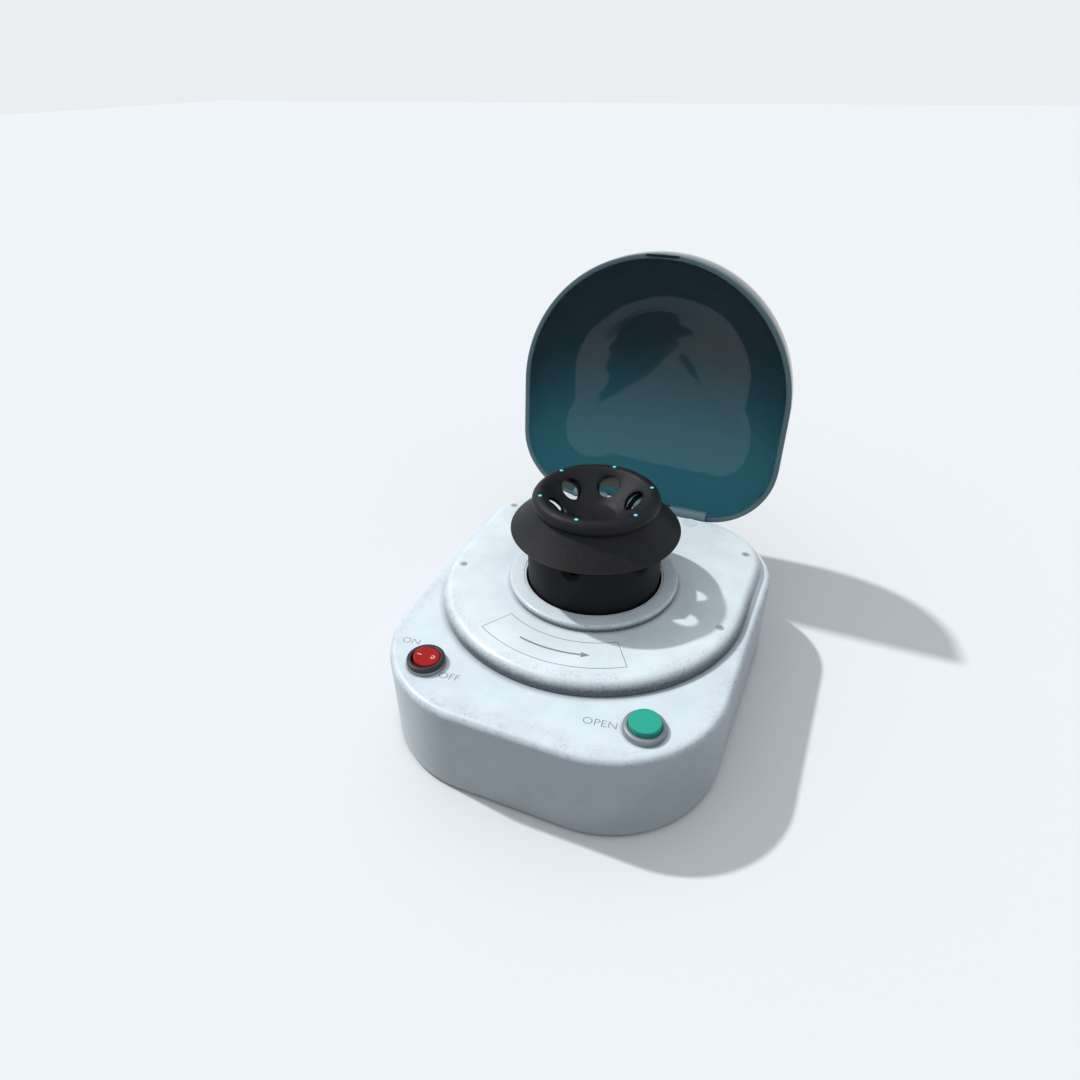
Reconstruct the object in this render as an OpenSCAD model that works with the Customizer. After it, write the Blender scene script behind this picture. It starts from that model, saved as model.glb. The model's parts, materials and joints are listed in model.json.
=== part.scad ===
// Six-place mini centrifuge with a domed lid, a charcoal angle rotor, a power rocker and an open button.
// Millimetres, +Z up, front at -Y. The ground is z = 0, under the rubber feet. The lid stands open.

/* [Housing] */
// Distance of the rotor axis in front of the origin
rotor_set = 23; // [10:0.5:26]
// Half width of the housing at the front
front_half_w = 84; // [80:0.5:92]
// Half width of the housing at the rear
rear_half_w = 87; // [82:0.5:94]
// Reach of the housing in front of the rotor axis
front_reach = 110; // [104:1:122]
// Reach of the housing behind the rotor axis
rear_reach = 86; // [85:0.5:92]
// Radius of the two front corners
front_corner_r = 57.5; // [40:0.5:64]
// Radius of the two rear corners
rear_corner_r = 45; // [36:0.5:52]
// Height of the housing, from its lower rim to its shelf
housing_h = 48; // [46:1:60]
// Wall thickness of the housing
wall = 3; // [2:0.25:4]
// Radius of the housing's top edge
edge_r = 3.5; // [1.5:0.25:4]
// Thickness of the base plate
base_t = 3; // [2.5:0.25:4]
// Height of the rubber feet
foot_h = 2; // [1.5:0.25:5]
// Radius of a rubber foot
foot_r = 8; // [6:0.5:10]
// Distance of a foot from the middle plane
foot_x = 52; // [40:1:54]

/* [Deck] */
// Rise of the deck plate above the shelf
deck_rise = 7; // [6.5:0.25:9]
// Radius of the deck's front arc about the rotor axis
deck_front_r = 80; // [76:0.5:82]
// Reach of the deck behind the rotor axis
deck_rear = 82; // [80:0.5:83]
// Radius of the deck's rear corners
deck_corner_r = 39; // [34:0.5:42]
// Distance of the deck's rear corner centres from the middle plane
deck_corner_x = 42; // [38:0.5:44]
// Radius of the deck's rounded edge
deck_edge_r = 6; // [3:0.25:6.25]
// Thickness of the deck's top skin
deck_skin = 3.5; // [2.5:0.25:4.5]
// Radius of a deck screw's head
deck_screw_head_r = 2; // [1.6:0.1:2.6]
// Radius of a blind plug in the deck
plug_r = 4.25; // [3:0.25:5]

/* [Rotor well] */
// Outer radius of the collar ring
collar_r = 44.2; // [42:0.2:48]
// Height of the collar ring above the deck
collar_h = 4; // [2.5:0.25:6]
// Depth of the well below the deck
well_depth = 18; // [16:0.5:20]
// Wall thickness of the well
well_t = 1.8; // [1.2:0.1:2.4]
// Radius of the well's opening
well_r = 35.6; // [35.3:0.1:36.6]

/* [Rotor] */
// Radius of the rotor's brim
brim_r = 43; // [40:0.5:46]
// Height of the brim above the deck
brim_z = 33.3; // [31:0.1:36]
// Radius of the rolled rim's centre line
rim_ring_r = 28; // [26.5:0.5:29]
// Radius of the rolled rim's section
rim_tube_r = 4; // [3:0.25:4.5]
// Height of the rolled rim's top above the deck
rim_top = 53; // [51:0.5:55]
// Wall thickness of the rotor's skirt and funnel
rotor_t = 2; // [1.5:0.1:2.2]
// Radius of the flat floor of the funnel
funnel_floor_r = 11; // [9:0.5:12]
// Height of the funnel's floor above the deck
funnel_floor_z = 39; // [38:0.5:41]
// Number of tube places
tube_count = 6; // [3:1:6]
// Radius of a tube hole
tube_hole_r = 5.8; // [5:0.1:6]
// Distance of a tube hole's centre from the rotor axis
tube_hole_ring = 20; // [19:0.5:21]
// Height of a tube hole's centre above the deck
tube_hole_z = 45; // [44:0.5:46]
// Angle of the tubes below the horizontal
tube_tilt = 45; // [40:1:48]
// Radius of the drum under the rotor
drum_r = 34.6; // [33:0.1:35.2]
// Height of the drum's top above the deck
drum_top = 27; // [24:0.5:28]
// Wall thickness of the drum
drum_t = 2.4; // [1.6:0.1:3]
// Radius of a marker dot on the rim
dot_r = 0.9; // [0.6:0.1:1.2]

/* [Lid] */
// Half width of the lid
lid_half_w = 78; // [74:0.5:79]
// Length of the lid from its rear edge to its front edge
lid_len = 149.5; // [146:0.5:156]
// Depth of the lid's dome
lid_depth = 66; // [64:0.5:72]
// Height of the straight skirt at the lid's rim
lid_skirt = 4; // [2:0.5:8]
// Wall thickness of the lid
lid_t = 2.8; // [2:0.1:3.2]
// Radius of the lid's rear corners
lid_corner_r = 40; // [30:0.5:44]
// Fullness of the dome, where 2 is an ellipse
lid_fullness = 2.3; // [2.1:0.05:2.6]
// Angle through which the lid opens
lid_open = 95; // [80:1:96]
// Gap between the closed lid and the deck
lid_gap = 0.4; // [0.3:0.05:0.8]
// Distance of the hinge axis behind the rotor axis
hinge_y = 82.5; // [82:0.25:84]
// Radius of the hinge barrel
barrel_r = 3.5; // [3:0.1:3.8]
// Half length of the hinge barrel
barrel_half = 42; // [36:0.5:44]
// Radius of the hinge pin
pin_r = 1.25; // [1:0.05:1.5]
// Half width of the hinge bracket
bracket_half = 20; // [16:0.5:24]
// Half width of the lid's middle knuckle
middle_knuckle = 9; // [6:0.5:11]

/* [Buttons] */
// Distance of each button from the middle plane
button_x = 53.5; // [50:0.5:57]
// Distance of the buttons in front of the rotor axis
button_y = 84.5; // [82:0.5:86]
// Radius of the power switch's metal ring
switch_ring_r = 9.4; // [9:0.1:10]
// Radius of the power switch's black bezel
bezel_r = 9.1; // [8.6:0.1:9.4]
// Radius of the round rocker
rocker_r = 6.3; // [5.6:0.1:6.5]
// Full swing of the rocker
rocker_swing = 14; // [8:1:16]
// Radius of the open button's metal ring
button_ring_r = 9.55; // [9:0.05:10]
// Height of the open button's metal ring
button_ring_h = 3; // [2:0.25:4]
// Radius of the open button's cap
cap_r = 7.2; // [6.4:0.1:7.3]
// Rise of the cap above its ring
cap_rise = 2.7; // [2.3:0.1:3.5]
// Travel of the open button
cap_travel = 1.8; // [1:0.1:2]

/* [Drive] */
// Radius of the motor can
motor_r = 18; // [16:0.5:20]
// Height of the motor can
motor_h = 21; // [18:0.5:21.5]
// Radius of the motor shaft
shaft_r = 1.6; // [1.5:0.05:2.5]
// Radius of the rotor hub
hub_r = 6; // [5:0.25:7]

/* [Electronics] */
// Width of the control board
board_w = 84; // [70:1:90]
// Depth of the control board
board_d = 44; // [36:1:46]
// Height of the board above the base plate
board_lift = 6; // [4:0.5:8]
// Radius of the power inlet's socket
inlet_r = 5.5; // [4.5:0.25:6]
// Distance of the power inlet from the middle plane
inlet_x = 25; // [10:1:34]

/* [Fit] */
// Clearance between pieces that stay together
fit = 0.1; // [0.05:0.05:0.2]
// Running clearance of a shaft or pin in its bore, on the radius
run = 0.05; // [0.02:0.01:0.1]
// Clearance between pieces that move past each other
swing = 0.5; // [0.3:0.1:0.8]

/* [Hidden] */
$fn = 96;

tiny = 0.01;
past = 1;
rotor_y = -rotor_set;
floor_z = foot_h + base_t;
shelf_z = foot_h + housing_h;
deck_z = shelf_z + deck_rise;

housing_plan = [front_corner_r, front_half_w - front_corner_r, front_corner_r - front_reach,
    rear_corner_r, rear_half_w - rear_corner_r, rear_reach - rear_corner_r];
deck_plan = [deck_front_r, 0, 0, deck_corner_r, deck_corner_x, deck_rear - deck_corner_r];

screw_r = 1.5;
screw_head_r = 2.8;
screw_head_h = 1.6;
boss_r = 4.5;
base_screw_at = [[70, -50], [66, 52]];
base_screw_len = 9;
foot_at = [[foot_x, -70], [foot_x, 52]];
foot_stem_r = 3;
deck_screw_at = [[70.4, -14.9], [71, 52.5]];
deck_screw_r = 1.1;
deck_screw_head_h = 1.2;
plug_at = [34.6, deck_rear - 8.4];
plug_h = 0.3;
plug_stem_r = 2.5;

well_out_r = well_r + well_t;
well_floor_z = deck_z - well_depth;
well_flange_r = well_out_r + 3;
well_flange_t = 1.5;
well_screw_r = 0.75;
well_screw_ring = well_out_r + 1.4;
well_floor_t = 2.5;
damper_h = 4;
damper_r = 4;
damper_ring = 24;
plate_t = 2;
plate_top = well_floor_z - well_floor_t - damper_h;
plate_r = 29;
can_top = plate_top - plate_t;
can_t = 1.2;
end_cap_t = 2;
bearing_r = 5;
bearing_h = 2.5;
motor_screw_ring = 12;
drum_floor_z = well_floor_z + 2;
drum_floor_t = 2.5;
hub_flange_r = 14;
hub_flange_t = 3;
hub_screw_ring = 10;

rim_z = rim_top - rim_tube_r;
// The funnel's wall rises on a line that touches the rolled rim
funnel_slope = atan2(rim_z - funnel_floor_z, rim_ring_r - funnel_floor_r)
    + asin(rim_tube_r / norm([rim_ring_r - funnel_floor_r, rim_z - funnel_floor_z]));
funnel_top = [rim_ring_r - rim_tube_r * sin(funnel_slope), rim_z + rim_tube_r * cos(funnel_slope)];
skirt_slope = brim_r + brim_z;
tube_guide = 3.4;
tube_guide_t = 1.2;
tube_reach = 48;
first_tube = 30;

lid_rear = hinge_y + barrel_r;
lid_mid = lid_rear - lid_len / 2;
lid_z = deck_z + lid_gap;
notch_half = barrel_half + swing;
notch_y = hinge_y - barrel_r - swing;
knuckle_gap = 0.3;
keeper_w = 18;
bracket_foot_t = 1.6;
hinge_screw_y = notch_y - wall - deck_screw_head_r - swing;
bracket_front = hinge_screw_y - deck_screw_head_r - 1;

ring_h = 1.6;
bezel_h = 2.4;
bezel_bore = rocker_r + 0.6;
panel_hole_r = 8;
rocker_pin_z = shelf_z - 0.5;
rocker_pin_r = 0.8;
bezel_top = shelf_z + ring_h + bezel_h;
cap_bore = cap_r + 0.15;
cap_top = shelf_z + button_ring_h + cap_rise;
cap_skirt = 6;
body_top = shelf_z - 9;
body_h = 13;
stem_r = 2;
spring_r = 4;
spring_wire = 0.5;
spring_turns = 4;

board_z = floor_z + board_lift;
board_t = 1.6;
board_y = -66;
board_hole_in = 4;
standoff_r = 3;
socket_w = 8;
socket_h = 5;
socket_y = 4 - board_d / 2;
socket_at = [16 - board_w / 2, -4, 14, board_w / 2 - 12];
inlet_z = 22;
inlet_len = 14;
inlet_nut_t = 2;

/* Shapes that repeat */

// A direction square to the line that touches two circles of the plan, on the right-hand side
function tangent_angle(p) = atan2(p[5] - p[2], p[4] - p[1])
    - acos((p[0] - p[3]) / norm([p[4] - p[1], p[5] - p[2]]));

// Plan with round corners, drawn about the rotor axis: p holds front radius and centre, rear radius and centre
module plan(p, inset = 0) {
    fr = p[0] - inset;
    rr = p[3] - inset;
    a = tangent_angle(p);
    n = [cos(a), sin(a)];
    // The sloping sides end a hair inside the circles, so that rounded numbers leave no sliver beside them
    hair = 0.002;
    right = concat(
        [[0, p[2] - fr]],
        p[1] > 0 ? [[p[1], p[2] - fr]] : [],
        [[p[1] + (fr - hair) * n[0], p[2] + (fr - hair) * n[1]],
            [p[4] + (rr - hair) * n[0], p[5] + (rr - hair) * n[1]], [p[4], p[5] + rr]]);
    left = [for (i = [len(right) - 1 : -1 : 1]) [-right[i][0], right[i][1]]];
    polygon(concat(right, left));
    for (s = [-1, 1]) {
        translate([s * p[1], p[2]]) circle(fr);
        translate([s * p[4], p[5]]) circle(rr);
    }
}

// Column with the plan's outline and a rounded top edge
module rounded_column(p, z0, z1, r) {
    hull()
        for (s = [-1, 1], c = [[p[0], p[1], p[2]], [p[3], p[4], p[5]]])
            translate([s * c[1], c[2], z0]) rounded_puck(c[0], z1 - z0, r);
}

module rounded_puck(r, h, edge) {
    rotate_extrude($fn = 72) union() {
        square([r - edge, h]);
        square([r, h - edge]);
        translate([r - edge, h - edge]) intersection() {
            circle(edge, $fn = 32);
            square(edge);
        }
    }
}

module at_rotor(z = 0) translate([0, rotor_y, z]) children();

// Copies at a point given about the rotor axis, on both sides of the middle plane
module both_sides(points) {
    for (q = points, s = [-1, 1]) at_rotor() translate([s * q[0], q[1], 0]) children();
}

module around(count, ring, first = 0) {
    for (i = [0 : count - 1]) rotate([0, 0, first + i * 360 / count]) translate([ring, 0, 0]) children();
}

module tube(r_out, r_in, h) {
    difference() {
        cylinder(r = r_out, h = h);
        translate([0, 0, -past]) cylinder(r = r_in, h = h + 2 * past);
    }
}

// Pan-head screw, head at z = 0 and up, thread pointing down
module pan_screw(r, length, head_r, head_h) {
    difference() {
        union() {
            translate([0, 0, -length]) cylinder(r = r, h = length + tiny);
            cylinder(r = head_r, h = head_h);
        }
        translate([0, 0, head_h - 0.6]) cube([2 * head_r - 1, 0.6, 2], center = true);
    }
}

// Direction of a route at one of its points
function heading(route, i) = let (d = route[min(i + 1, len(route) - 1)] - route[max(i - 1, 0)]) d / norm(d);

// Ring of points round a route, square to its heading
function ring_at(route, i, r, sides) = let (
        d = heading(route, i),
        u = cross(d, [0, 0, 1]) / norm(cross(d, [0, 0, 1])),
        v = cross(d, u))
    [for (k = [0 : sides - 1]) route[i] + r * (cos(k * 360 / sides) * u + sin(k * 360 / sides) * v)];

// Wire swept through a list of points
module wire(route, r, sides = 8) {
    last = len(route) - 1;
    polyhedron(
        points = [for (i = [0 : last], q = ring_at(route, i, r, sides)) q],
        faces = concat(
            [[for (k = [0 : sides - 1]) k]],
            [for (i = [0 : last - 1], k = [0 : sides - 1]) let (m = (k + 1) % sides)
                [i * sides + k, (i + 1) * sides + k, (i + 1) * sides + m, i * sides + m]],
            [[for (k = [sides - 1 : -1 : 0]) last * sides + k]]));
}

/* Housing */

module housing_shell() color("aliceblue") difference() {
    union() {
        difference() {
            at_rotor() rounded_column(housing_plan, foot_h, shelf_z, edge_r);
            at_rotor(foot_h - past) linear_extrude(shelf_z - wall - foot_h + past) plan(housing_plan, wall);
        }
        both_sides(base_screw_at) translate([0, 0, floor_z + fit])
            cylinder(r = boss_r, h = shelf_z - wall - floor_z);
    }
    both_sides(base_screw_at) cylinder(r = screw_r + run, h = floor_z + base_screw_len);
    at_rotor() cylinder(r = well_out_r + fit, h = shelf_z + past);
    both_sides(deck_screw_at) cylinder(r = deck_screw_r + run, h = shelf_z + past);
    at_button(-1) cylinder(r = panel_hole_r, h = shelf_z + past);
    at_button(1) cylinder(r = panel_hole_r, h = shelf_z + past);
    hinge_screw_places() cylinder(r = deck_screw_r + run, h = shelf_z + past);
    at_inlet() cylinder(r = inlet_r + fit, h = 4 * wall, center = true);
}

module base_plate() color("dimgray") union() {
    difference() {
        at_rotor(foot_h) linear_extrude(base_t) plan(housing_plan, wall + fit);
        both_sides(base_screw_at) {
            cylinder(r = screw_r + 2 * fit, h = floor_z + past);
            cylinder(r = screw_head_r + 2 * fit, h = foot_h + screw_head_h + fit);
        }
        both_sides(foot_at) cylinder(r = foot_stem_r, h = floor_z + past);
    }
    board_corners() translate([0, 0, floor_z - tiny]) tube(standoff_r, screw_r + run, board_lift + tiny);
}

module rubber_feet() color("darkslategray") both_sides(foot_at) {
    difference() {
        cylinder(r = foot_r, h = foot_h);
        translate([0, 0, -past]) cylinder(r = foot_r / 3, h = past + foot_h / 3);
    }
    cylinder(r = foot_stem_r - fit, h = floor_z);
    translate([0, 0, floor_z]) cylinder(r = foot_stem_r + 0.8, h = 1);
}

module base_screws() color("silver") both_sides(base_screw_at)
    translate([0, 0, foot_h + screw_head_h + fit]) rotate([180, 0, 0])
        pan_screw(screw_r, base_screw_len, screw_head_r, screw_head_h);

/* Deck */

module deck_plate() color("aliceblue") difference() {
    at_rotor() rounded_column(deck_plan, shelf_z, deck_z, deck_edge_r);
    difference() {
        at_rotor(shelf_z - past) linear_extrude(deck_rise - deck_skin + past) plan(deck_plan, wall + 2);
        both_sides(deck_screw_at) cylinder(r = boss_r, h = deck_z);
        both_sides([plug_at]) cylinder(r = boss_r, h = deck_z);
        at_rotor() cylinder(r = well_flange_r + wall, h = deck_z);
        at_rotor() translate([-notch_half - wall, notch_y - wall, 0])
            cube([2 * (notch_half + wall), rear_reach, deck_z]);
    }
    at_rotor() cylinder(r = well_out_r + fit, h = deck_z + past);
    at_rotor(deck_z - well_flange_t) cylinder(r = well_flange_r + fit, h = well_flange_t + past);
    at_rotor() translate([-notch_half, notch_y, 0]) cube([2 * notch_half, rear_reach, deck_z + past]);
    at_rotor() translate([-bracket_half - fit, bracket_front - fit, 0])
        cube([2 * (bracket_half + fit), rear_reach, shelf_z + bracket_foot_t + fit]);
    both_sides(deck_screw_at) {
        cylinder(r = deck_screw_r + fit, h = deck_z);
        translate([0, 0, deck_z - deck_screw_head_h]) cylinder(r = deck_screw_head_r + fit, h = past + 2);
    }
    both_sides([plug_at]) {
        cylinder(r = plug_stem_r + fit, h = deck_z);
        translate([0, 0, deck_z - plug_h]) cylinder(r = plug_r + fit, h = past + 2);
    }
    around_well(well_screw_ring) cylinder(r = well_screw_r + run, h = deck_z);
}

module deck_screws() color("silver") both_sides(deck_screw_at)
    translate([0, 0, deck_z - deck_screw_head_h])
        pan_screw(deck_screw_r, deck_rise + 1, deck_screw_head_r, deck_screw_head_h);

module deck_plugs() color("white") both_sides([plug_at]) {
    translate([0, 0, deck_z - plug_h]) cylinder(r = plug_r, h = plug_h + 0.1);
    translate([0, 0, shelf_z]) cylinder(r = plug_stem_r, h = deck_rise - plug_h + tiny);
}

module collar_ring() color("gainsboro") at_rotor(deck_z) rotate_extrude()
    translate([drum_r + 0.9, 0]) difference() {
        square([collar_r - drum_r - 0.9, collar_h]);
        translate([collar_r - drum_r - 0.9 - 1.6, collar_h - 1.6]) difference() {
            square(1.6 + past);
            circle(1.6, $fn = 48);
        }
    }

module around_well(ring) at_rotor() around(4, ring, 45) children();

module rotor_well() color("slategray") at_rotor() difference() {
    union() {
        translate([0, 0, well_floor_z - well_floor_t])
            cylinder(r = well_out_r, h = well_depth + well_floor_t);
        translate([0, 0, deck_z - well_flange_t]) cylinder(r = well_flange_r, h = well_flange_t);
    }
    translate([0, 0, well_floor_z]) cylinder(r = well_r, h = well_depth + past);
    cylinder(r = hub_r + 1.5, h = deck_z);
    around(4, damper_ring, 45) cylinder(r = screw_r + fit, h = deck_z);
    around(4, well_screw_ring, 45) cylinder(r = well_screw_r + fit, h = deck_z + past);
}

module well_screws() color("silver") around_well(well_screw_ring)
    translate([0, 0, deck_z - deck_skin - 1.5]) cylinder(r = well_screw_r, h = deck_skin + 1.3);

/* Drive */

module motor_plate() color("lightgray") at_rotor() difference() {
    translate([0, 0, can_top]) cylinder(r = plate_r, h = plate_t);
    cylinder(r = bearing_r + 1, h = deck_z);
    around(4, damper_ring, 45) cylinder(r = screw_r + fit, h = deck_z);
    around(4, motor_screw_ring, 0) cylinder(r = 1.2, h = deck_z);
}

module motor_dampers() color("black") at_rotor(plate_top) around(4, damper_ring, 45)
    tube(damper_r, screw_r + fit, damper_h);

module motor_screws() color("silver") at_rotor() {
    around(4, damper_ring, 45) translate([0, 0, can_top]) rotate([180, 0, 0])
        pan_screw(screw_r, plate_t + damper_h + well_floor_t, screw_head_r, screw_head_h);
    around(4, motor_screw_ring, 0) translate([0, 0, plate_top])
        pan_screw(1.1, plate_t + end_cap_t, 2, 1.2);
}

module motor_can() color("silver") at_rotor(can_top - motor_h) difference() {
    cylinder(r = motor_r, h = motor_h - end_cap_t);
    translate([0, 0, can_t]) cylinder(r = motor_r - can_t, h = motor_h);
    translate([0, 0, -past]) cylinder(r = shaft_r + 1, h = 3 * past);
}

module motor_magnets() color("dimgray") at_rotor(can_top - motor_h + 4) difference() {
    tube(motor_r - can_t - fit, motor_r - can_t - 3, motor_h - 10);
    for (a = [0, 90]) rotate([0, 0, a]) cube([3 * motor_r, 3, 3 * motor_h], center = true);
}

module motor_end_cap() color("black") at_rotor(can_top - end_cap_t) difference() {
    cylinder(r = motor_r, h = end_cap_t);
    translate([0, 0, -past]) cylinder(r = bearing_r, h = 3 * end_cap_t);
    around(4, motor_screw_ring, 0) translate([0, 0, -past]) cylinder(r = 1.15, h = 3 * end_cap_t);
}

module shaft_bearings() color("silver") at_rotor() {
    translate([0, 0, can_top - end_cap_t]) tube(bearing_r - tiny, shaft_r + run, bearing_h);
    translate([0, 0, can_top - motor_h + can_t]) tube(bearing_r, shaft_r + run, bearing_h);
}

module motor_shaft() color("silver") at_rotor(can_top - motor_h + can_t)
    cylinder(r = shaft_r, h = drum_floor_z + 28 - can_top + motor_h - can_t);

module motor_armature() color("peru") at_rotor(can_top - motor_h + 5) difference() {
    union() {
        cylinder(r = motor_r - can_t - 4, h = motor_h - 12);
        cylinder(r = 4, h = motor_h - 9.5);
    }
    translate([0, 0, -past]) cylinder(r = shaft_r + run, h = motor_h + past);
    around(8, motor_r - can_t - 4, 0) translate([0, 0, -past]) cylinder(r = 1.5, h = motor_h);
}

/* Rotor */

// Line along which a tube lies, from the middle of its hole in the funnel
module along_tube(i) rotate([0, 0, first_tube + i * 360 / tube_count])
    translate([tube_hole_ring, 0, tube_hole_z]) rotate([0, 90 + tube_tilt, 0]) children();

module rotor_hub() color("silver") at_rotor() difference() {
    union() {
        translate([0, 0, drum_floor_z - 1]) cylinder(r = hub_r, h = deck_z + funnel_floor_z - rotor_t
            - drum_floor_z + 1);
        translate([0, 0, drum_floor_z + drum_floor_t]) cylinder(r = hub_flange_r, h = hub_flange_t);
    }
    translate([0, 0, drum_floor_z - 2]) cylinder(r = shaft_r + run, h = 31);
    around(3, hub_screw_ring, 30) cylinder(r = 1.2, h = drum_floor_z + 9);
}

module rotor_drum() color("#1b1b1e") at_rotor() difference() {
    translate([0, 0, drum_floor_z]) cylinder(r = drum_r, h = deck_z + drum_top - drum_floor_z);
    translate([0, 0, drum_floor_z + drum_floor_t]) cylinder(r = drum_r - drum_t, h = deck_z);
    cylinder(r = hub_r + fit, h = deck_z);
    around(3, hub_screw_ring, 30) cylinder(r = 1.2, h = deck_z);
    translate([0, 0, deck_z]) for (i = [0 : tube_count - 1]) along_tube(i)
        cylinder(r = tube_hole_r + swing, h = tube_reach);
}

module drum_screws() color("silver") at_rotor(drum_floor_z) around(3, hub_screw_ring, 30)
    cylinder(r = 1.1, h = drum_floor_t + hub_flange_t);

module rotor_profile() {
    floor_low = funnel_floor_z - rotor_t;
    translate([rim_ring_r, rim_z]) circle(rim_tube_r);
    polygon([[rim_ring_r + 1, skirt_slope - rim_ring_r - 1], [brim_r, brim_z],
        [brim_r - rotor_t * sqrt(2), brim_z], [rim_ring_r - 1, skirt_slope - rotor_t * sqrt(2) - rim_ring_r + 1]]);
    under_r = funnel_floor_r + rotor_t * tan(funnel_slope / 2);
    polygon([[0, funnel_floor_z], [funnel_floor_r, funnel_floor_z], funnel_top, [rim_ring_r, rim_z],
        [rim_ring_r - 1, floor_low + (rim_ring_r - 1 - under_r) * tan(funnel_slope)], [under_r, floor_low],
        [0, floor_low]]);
}

module rotor_body() color("#2b2c30") at_rotor(deck_z) difference() {
    union() {
        rotate_extrude() rotor_profile();
        difference() {
            for (i = [0 : tube_count - 1]) along_tube(i)
                cylinder(r = tube_hole_r + tube_guide_t, h = tube_guide);
            rotate_extrude() polygon([[0, funnel_floor_z], [funnel_floor_r, funnel_floor_z],
                funnel_top, [0, rim_top + past]]);
            rotate_extrude() polygon([[rim_ring_r, skirt_slope - rim_ring_r], [brim_r, brim_z],
                [brim_r + 20, brim_z], [rim_ring_r + 20, skirt_slope - rim_ring_r + 20]]);
        }
    }
    for (i = [0 : tube_count - 1]) along_tube(i)
        translate([0, 0, -9]) cylinder(r = tube_hole_r, h = tube_reach + 9);
    around(tube_count, rim_ring_r, first_tube) translate([0, 0, rim_top - 0.5]) cylinder(r = dot_r, h = 2);
}

module rotor_dots() color("turquoise") at_rotor(deck_z + rim_top - 0.5)
    around(tube_count, rim_ring_r, first_tube) cylinder(r = dot_r - tiny, h = 0.55);

/* Hinge and lid */

module at_hinge() at_rotor(deck_z) translate([0, hinge_y, 0]) children();

module across(half, r) rotate([0, 90, 0]) cylinder(r = r, h = 2 * half, center = true);

// Span of the barrel between two distances from the middle plane, on both sides
module spans(from, to, r) for (s = [-1, 1]) translate([s * (from + to) / 2, 0, 0]) across((to - from) / 2, r);

// The lid is drawn closed and turned back to its open place
module opened() at_hinge() rotate([-lid_open, 0, 0]) translate([0, -hinge_y, -deck_z]) children();

module hinge_screw_places() at_rotor() for (s = [-1, 1])
    translate([s * (middle_knuckle + bracket_half) / 2, hinge_screw_y, 0]) children();

module hinge_bracket() color("silver") difference() {
    union() {
        at_hinge() spans(middle_knuckle + knuckle_gap, bracket_half, barrel_r - 0.4);
        at_rotor(shelf_z) for (s = [-1, 1]) translate([s * (middle_knuckle + knuckle_gap + bracket_half) / 2, 0, 0])
            translate([-(bracket_half - middle_knuckle - knuckle_gap) / 2, hinge_y - barrel_r + 0.4, 0])
                cube([bracket_half - middle_knuckle - knuckle_gap, barrel_r - 0.4, deck_rise]);
        at_rotor(shelf_z) translate([-bracket_half, bracket_front, 0])
            cube([2 * bracket_half, hinge_y - bracket_front, bracket_foot_t]);
    }
    at_hinge() across(barrel_half, pin_r + run);
    hinge_screw_places() cylinder(r = deck_screw_r + fit, h = deck_z);
}

module hinge_screws() color("silver") hinge_screw_places() translate([0, 0, shelf_z + bracket_foot_t])
    cylinder_screw();

module cylinder_screw() {
    translate([0, 0, -bracket_foot_t - wall]) cylinder(r = deck_screw_r, h = bracket_foot_t + wall + tiny);
    cylinder(r = deck_screw_head_r, h = 1.2);
}

module hinge_pin() color("silver") at_hinge() across(barrel_half - 1, pin_r);

// Outline of the lid about the middle of its length, scaled towards the rotor axis
module lid_slice(scale_to, z, grow) {
    w = lid_half_w + grow;
    half = lid_len / 2 + grow;
    rc = lid_corner_r + grow;
    translate([0, -lid_mid * (1 - scale_to), z]) {
        translate([0, (w - half) * scale_to, 0]) linear_extrude(tiny) intersection() {
            circle(w * scale_to, $fn = 64);
            translate([-lid_len, -2 * lid_len]) square(2 * lid_len);
        }
        for (s = [-1, 1]) translate([s * (w - rc) * scale_to, (half - rc) * scale_to, 0])
            cylinder(r = rc * scale_to, h = tiny, $fn = 48);
    }
}

module dome(grow, low) {
    steps = 8;
    rise = lid_depth - lid_skirt + grow;
    hull() {
        lid_slice(1, low, grow);
        for (i = [0 : steps]) lid_slice(max(0.02, pow(cos(90 * i / steps), 2 / lid_fullness)),
            lid_skirt + rise * pow(sin(90 * i / steps), 2 / lid_fullness), grow);
    }
}

module lid_closed_shell() difference() {
    at_lid() difference() {
        dome(0, 0);
        dome(-lid_t, -past);
    }
    translate([0, hinge_y, deck_z]) spans(middle_knuckle, bracket_half + knuckle_gap, barrel_r + swing);
    translate([0, hinge_y, deck_z]) across(barrel_half, barrel_r + fit);
    translate([-keeper_w / 2 - fit, lid_rear - lid_len + 0.6, lid_z - past])
        cube([keeper_w + 2 * fit, 1.4 + 2 * fit, 1.2 + past + fit]);
}

module at_lid() translate([0, lid_mid, lid_z]) children();

module lid_shell() color([0.1, 0.32, 0.36, 0.5]) opened() lid_closed_shell();

module lid_barrel() color([0.1, 0.32, 0.36]) opened() translate([0, hinge_y, deck_z]) difference() {
    union() {
        across(middle_knuckle - tiny, barrel_r);
        spans(bracket_half + knuckle_gap, barrel_half, barrel_r);
    }
    across(barrel_half + past, pin_r + run);
}

module keeper_strip() color("silver") opened()
    translate([-keeper_w / 2, lid_rear - lid_len + 0.6 + fit, lid_z]) cube([keeper_w, 1.4, 1.2]);

module hold_magnet() color("dimgray") at_rotor(shelf_z)
    translate([0, lid_rear - lid_len + 3, 0]) cylinder(r = 6, h = deck_rise - deck_skin);

module lid_sensor() color("seagreen") at_rotor(deck_z - deck_skin - 1.6)
    translate([-28, 62, 0]) cube([12, 6, 1.6]);

/* Buttons */

module at_button(side) at_rotor() translate([side * button_x, -button_y, 0]) children();

module switch_ring() color("slategray") at_button(-1) translate([0, 0, shelf_z]) difference() {
    rounded_ring(switch_ring_r, ring_h, 0.7);
    translate([0, 0, -past]) cylinder(r = panel_hole_r, h = 9);
}

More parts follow.
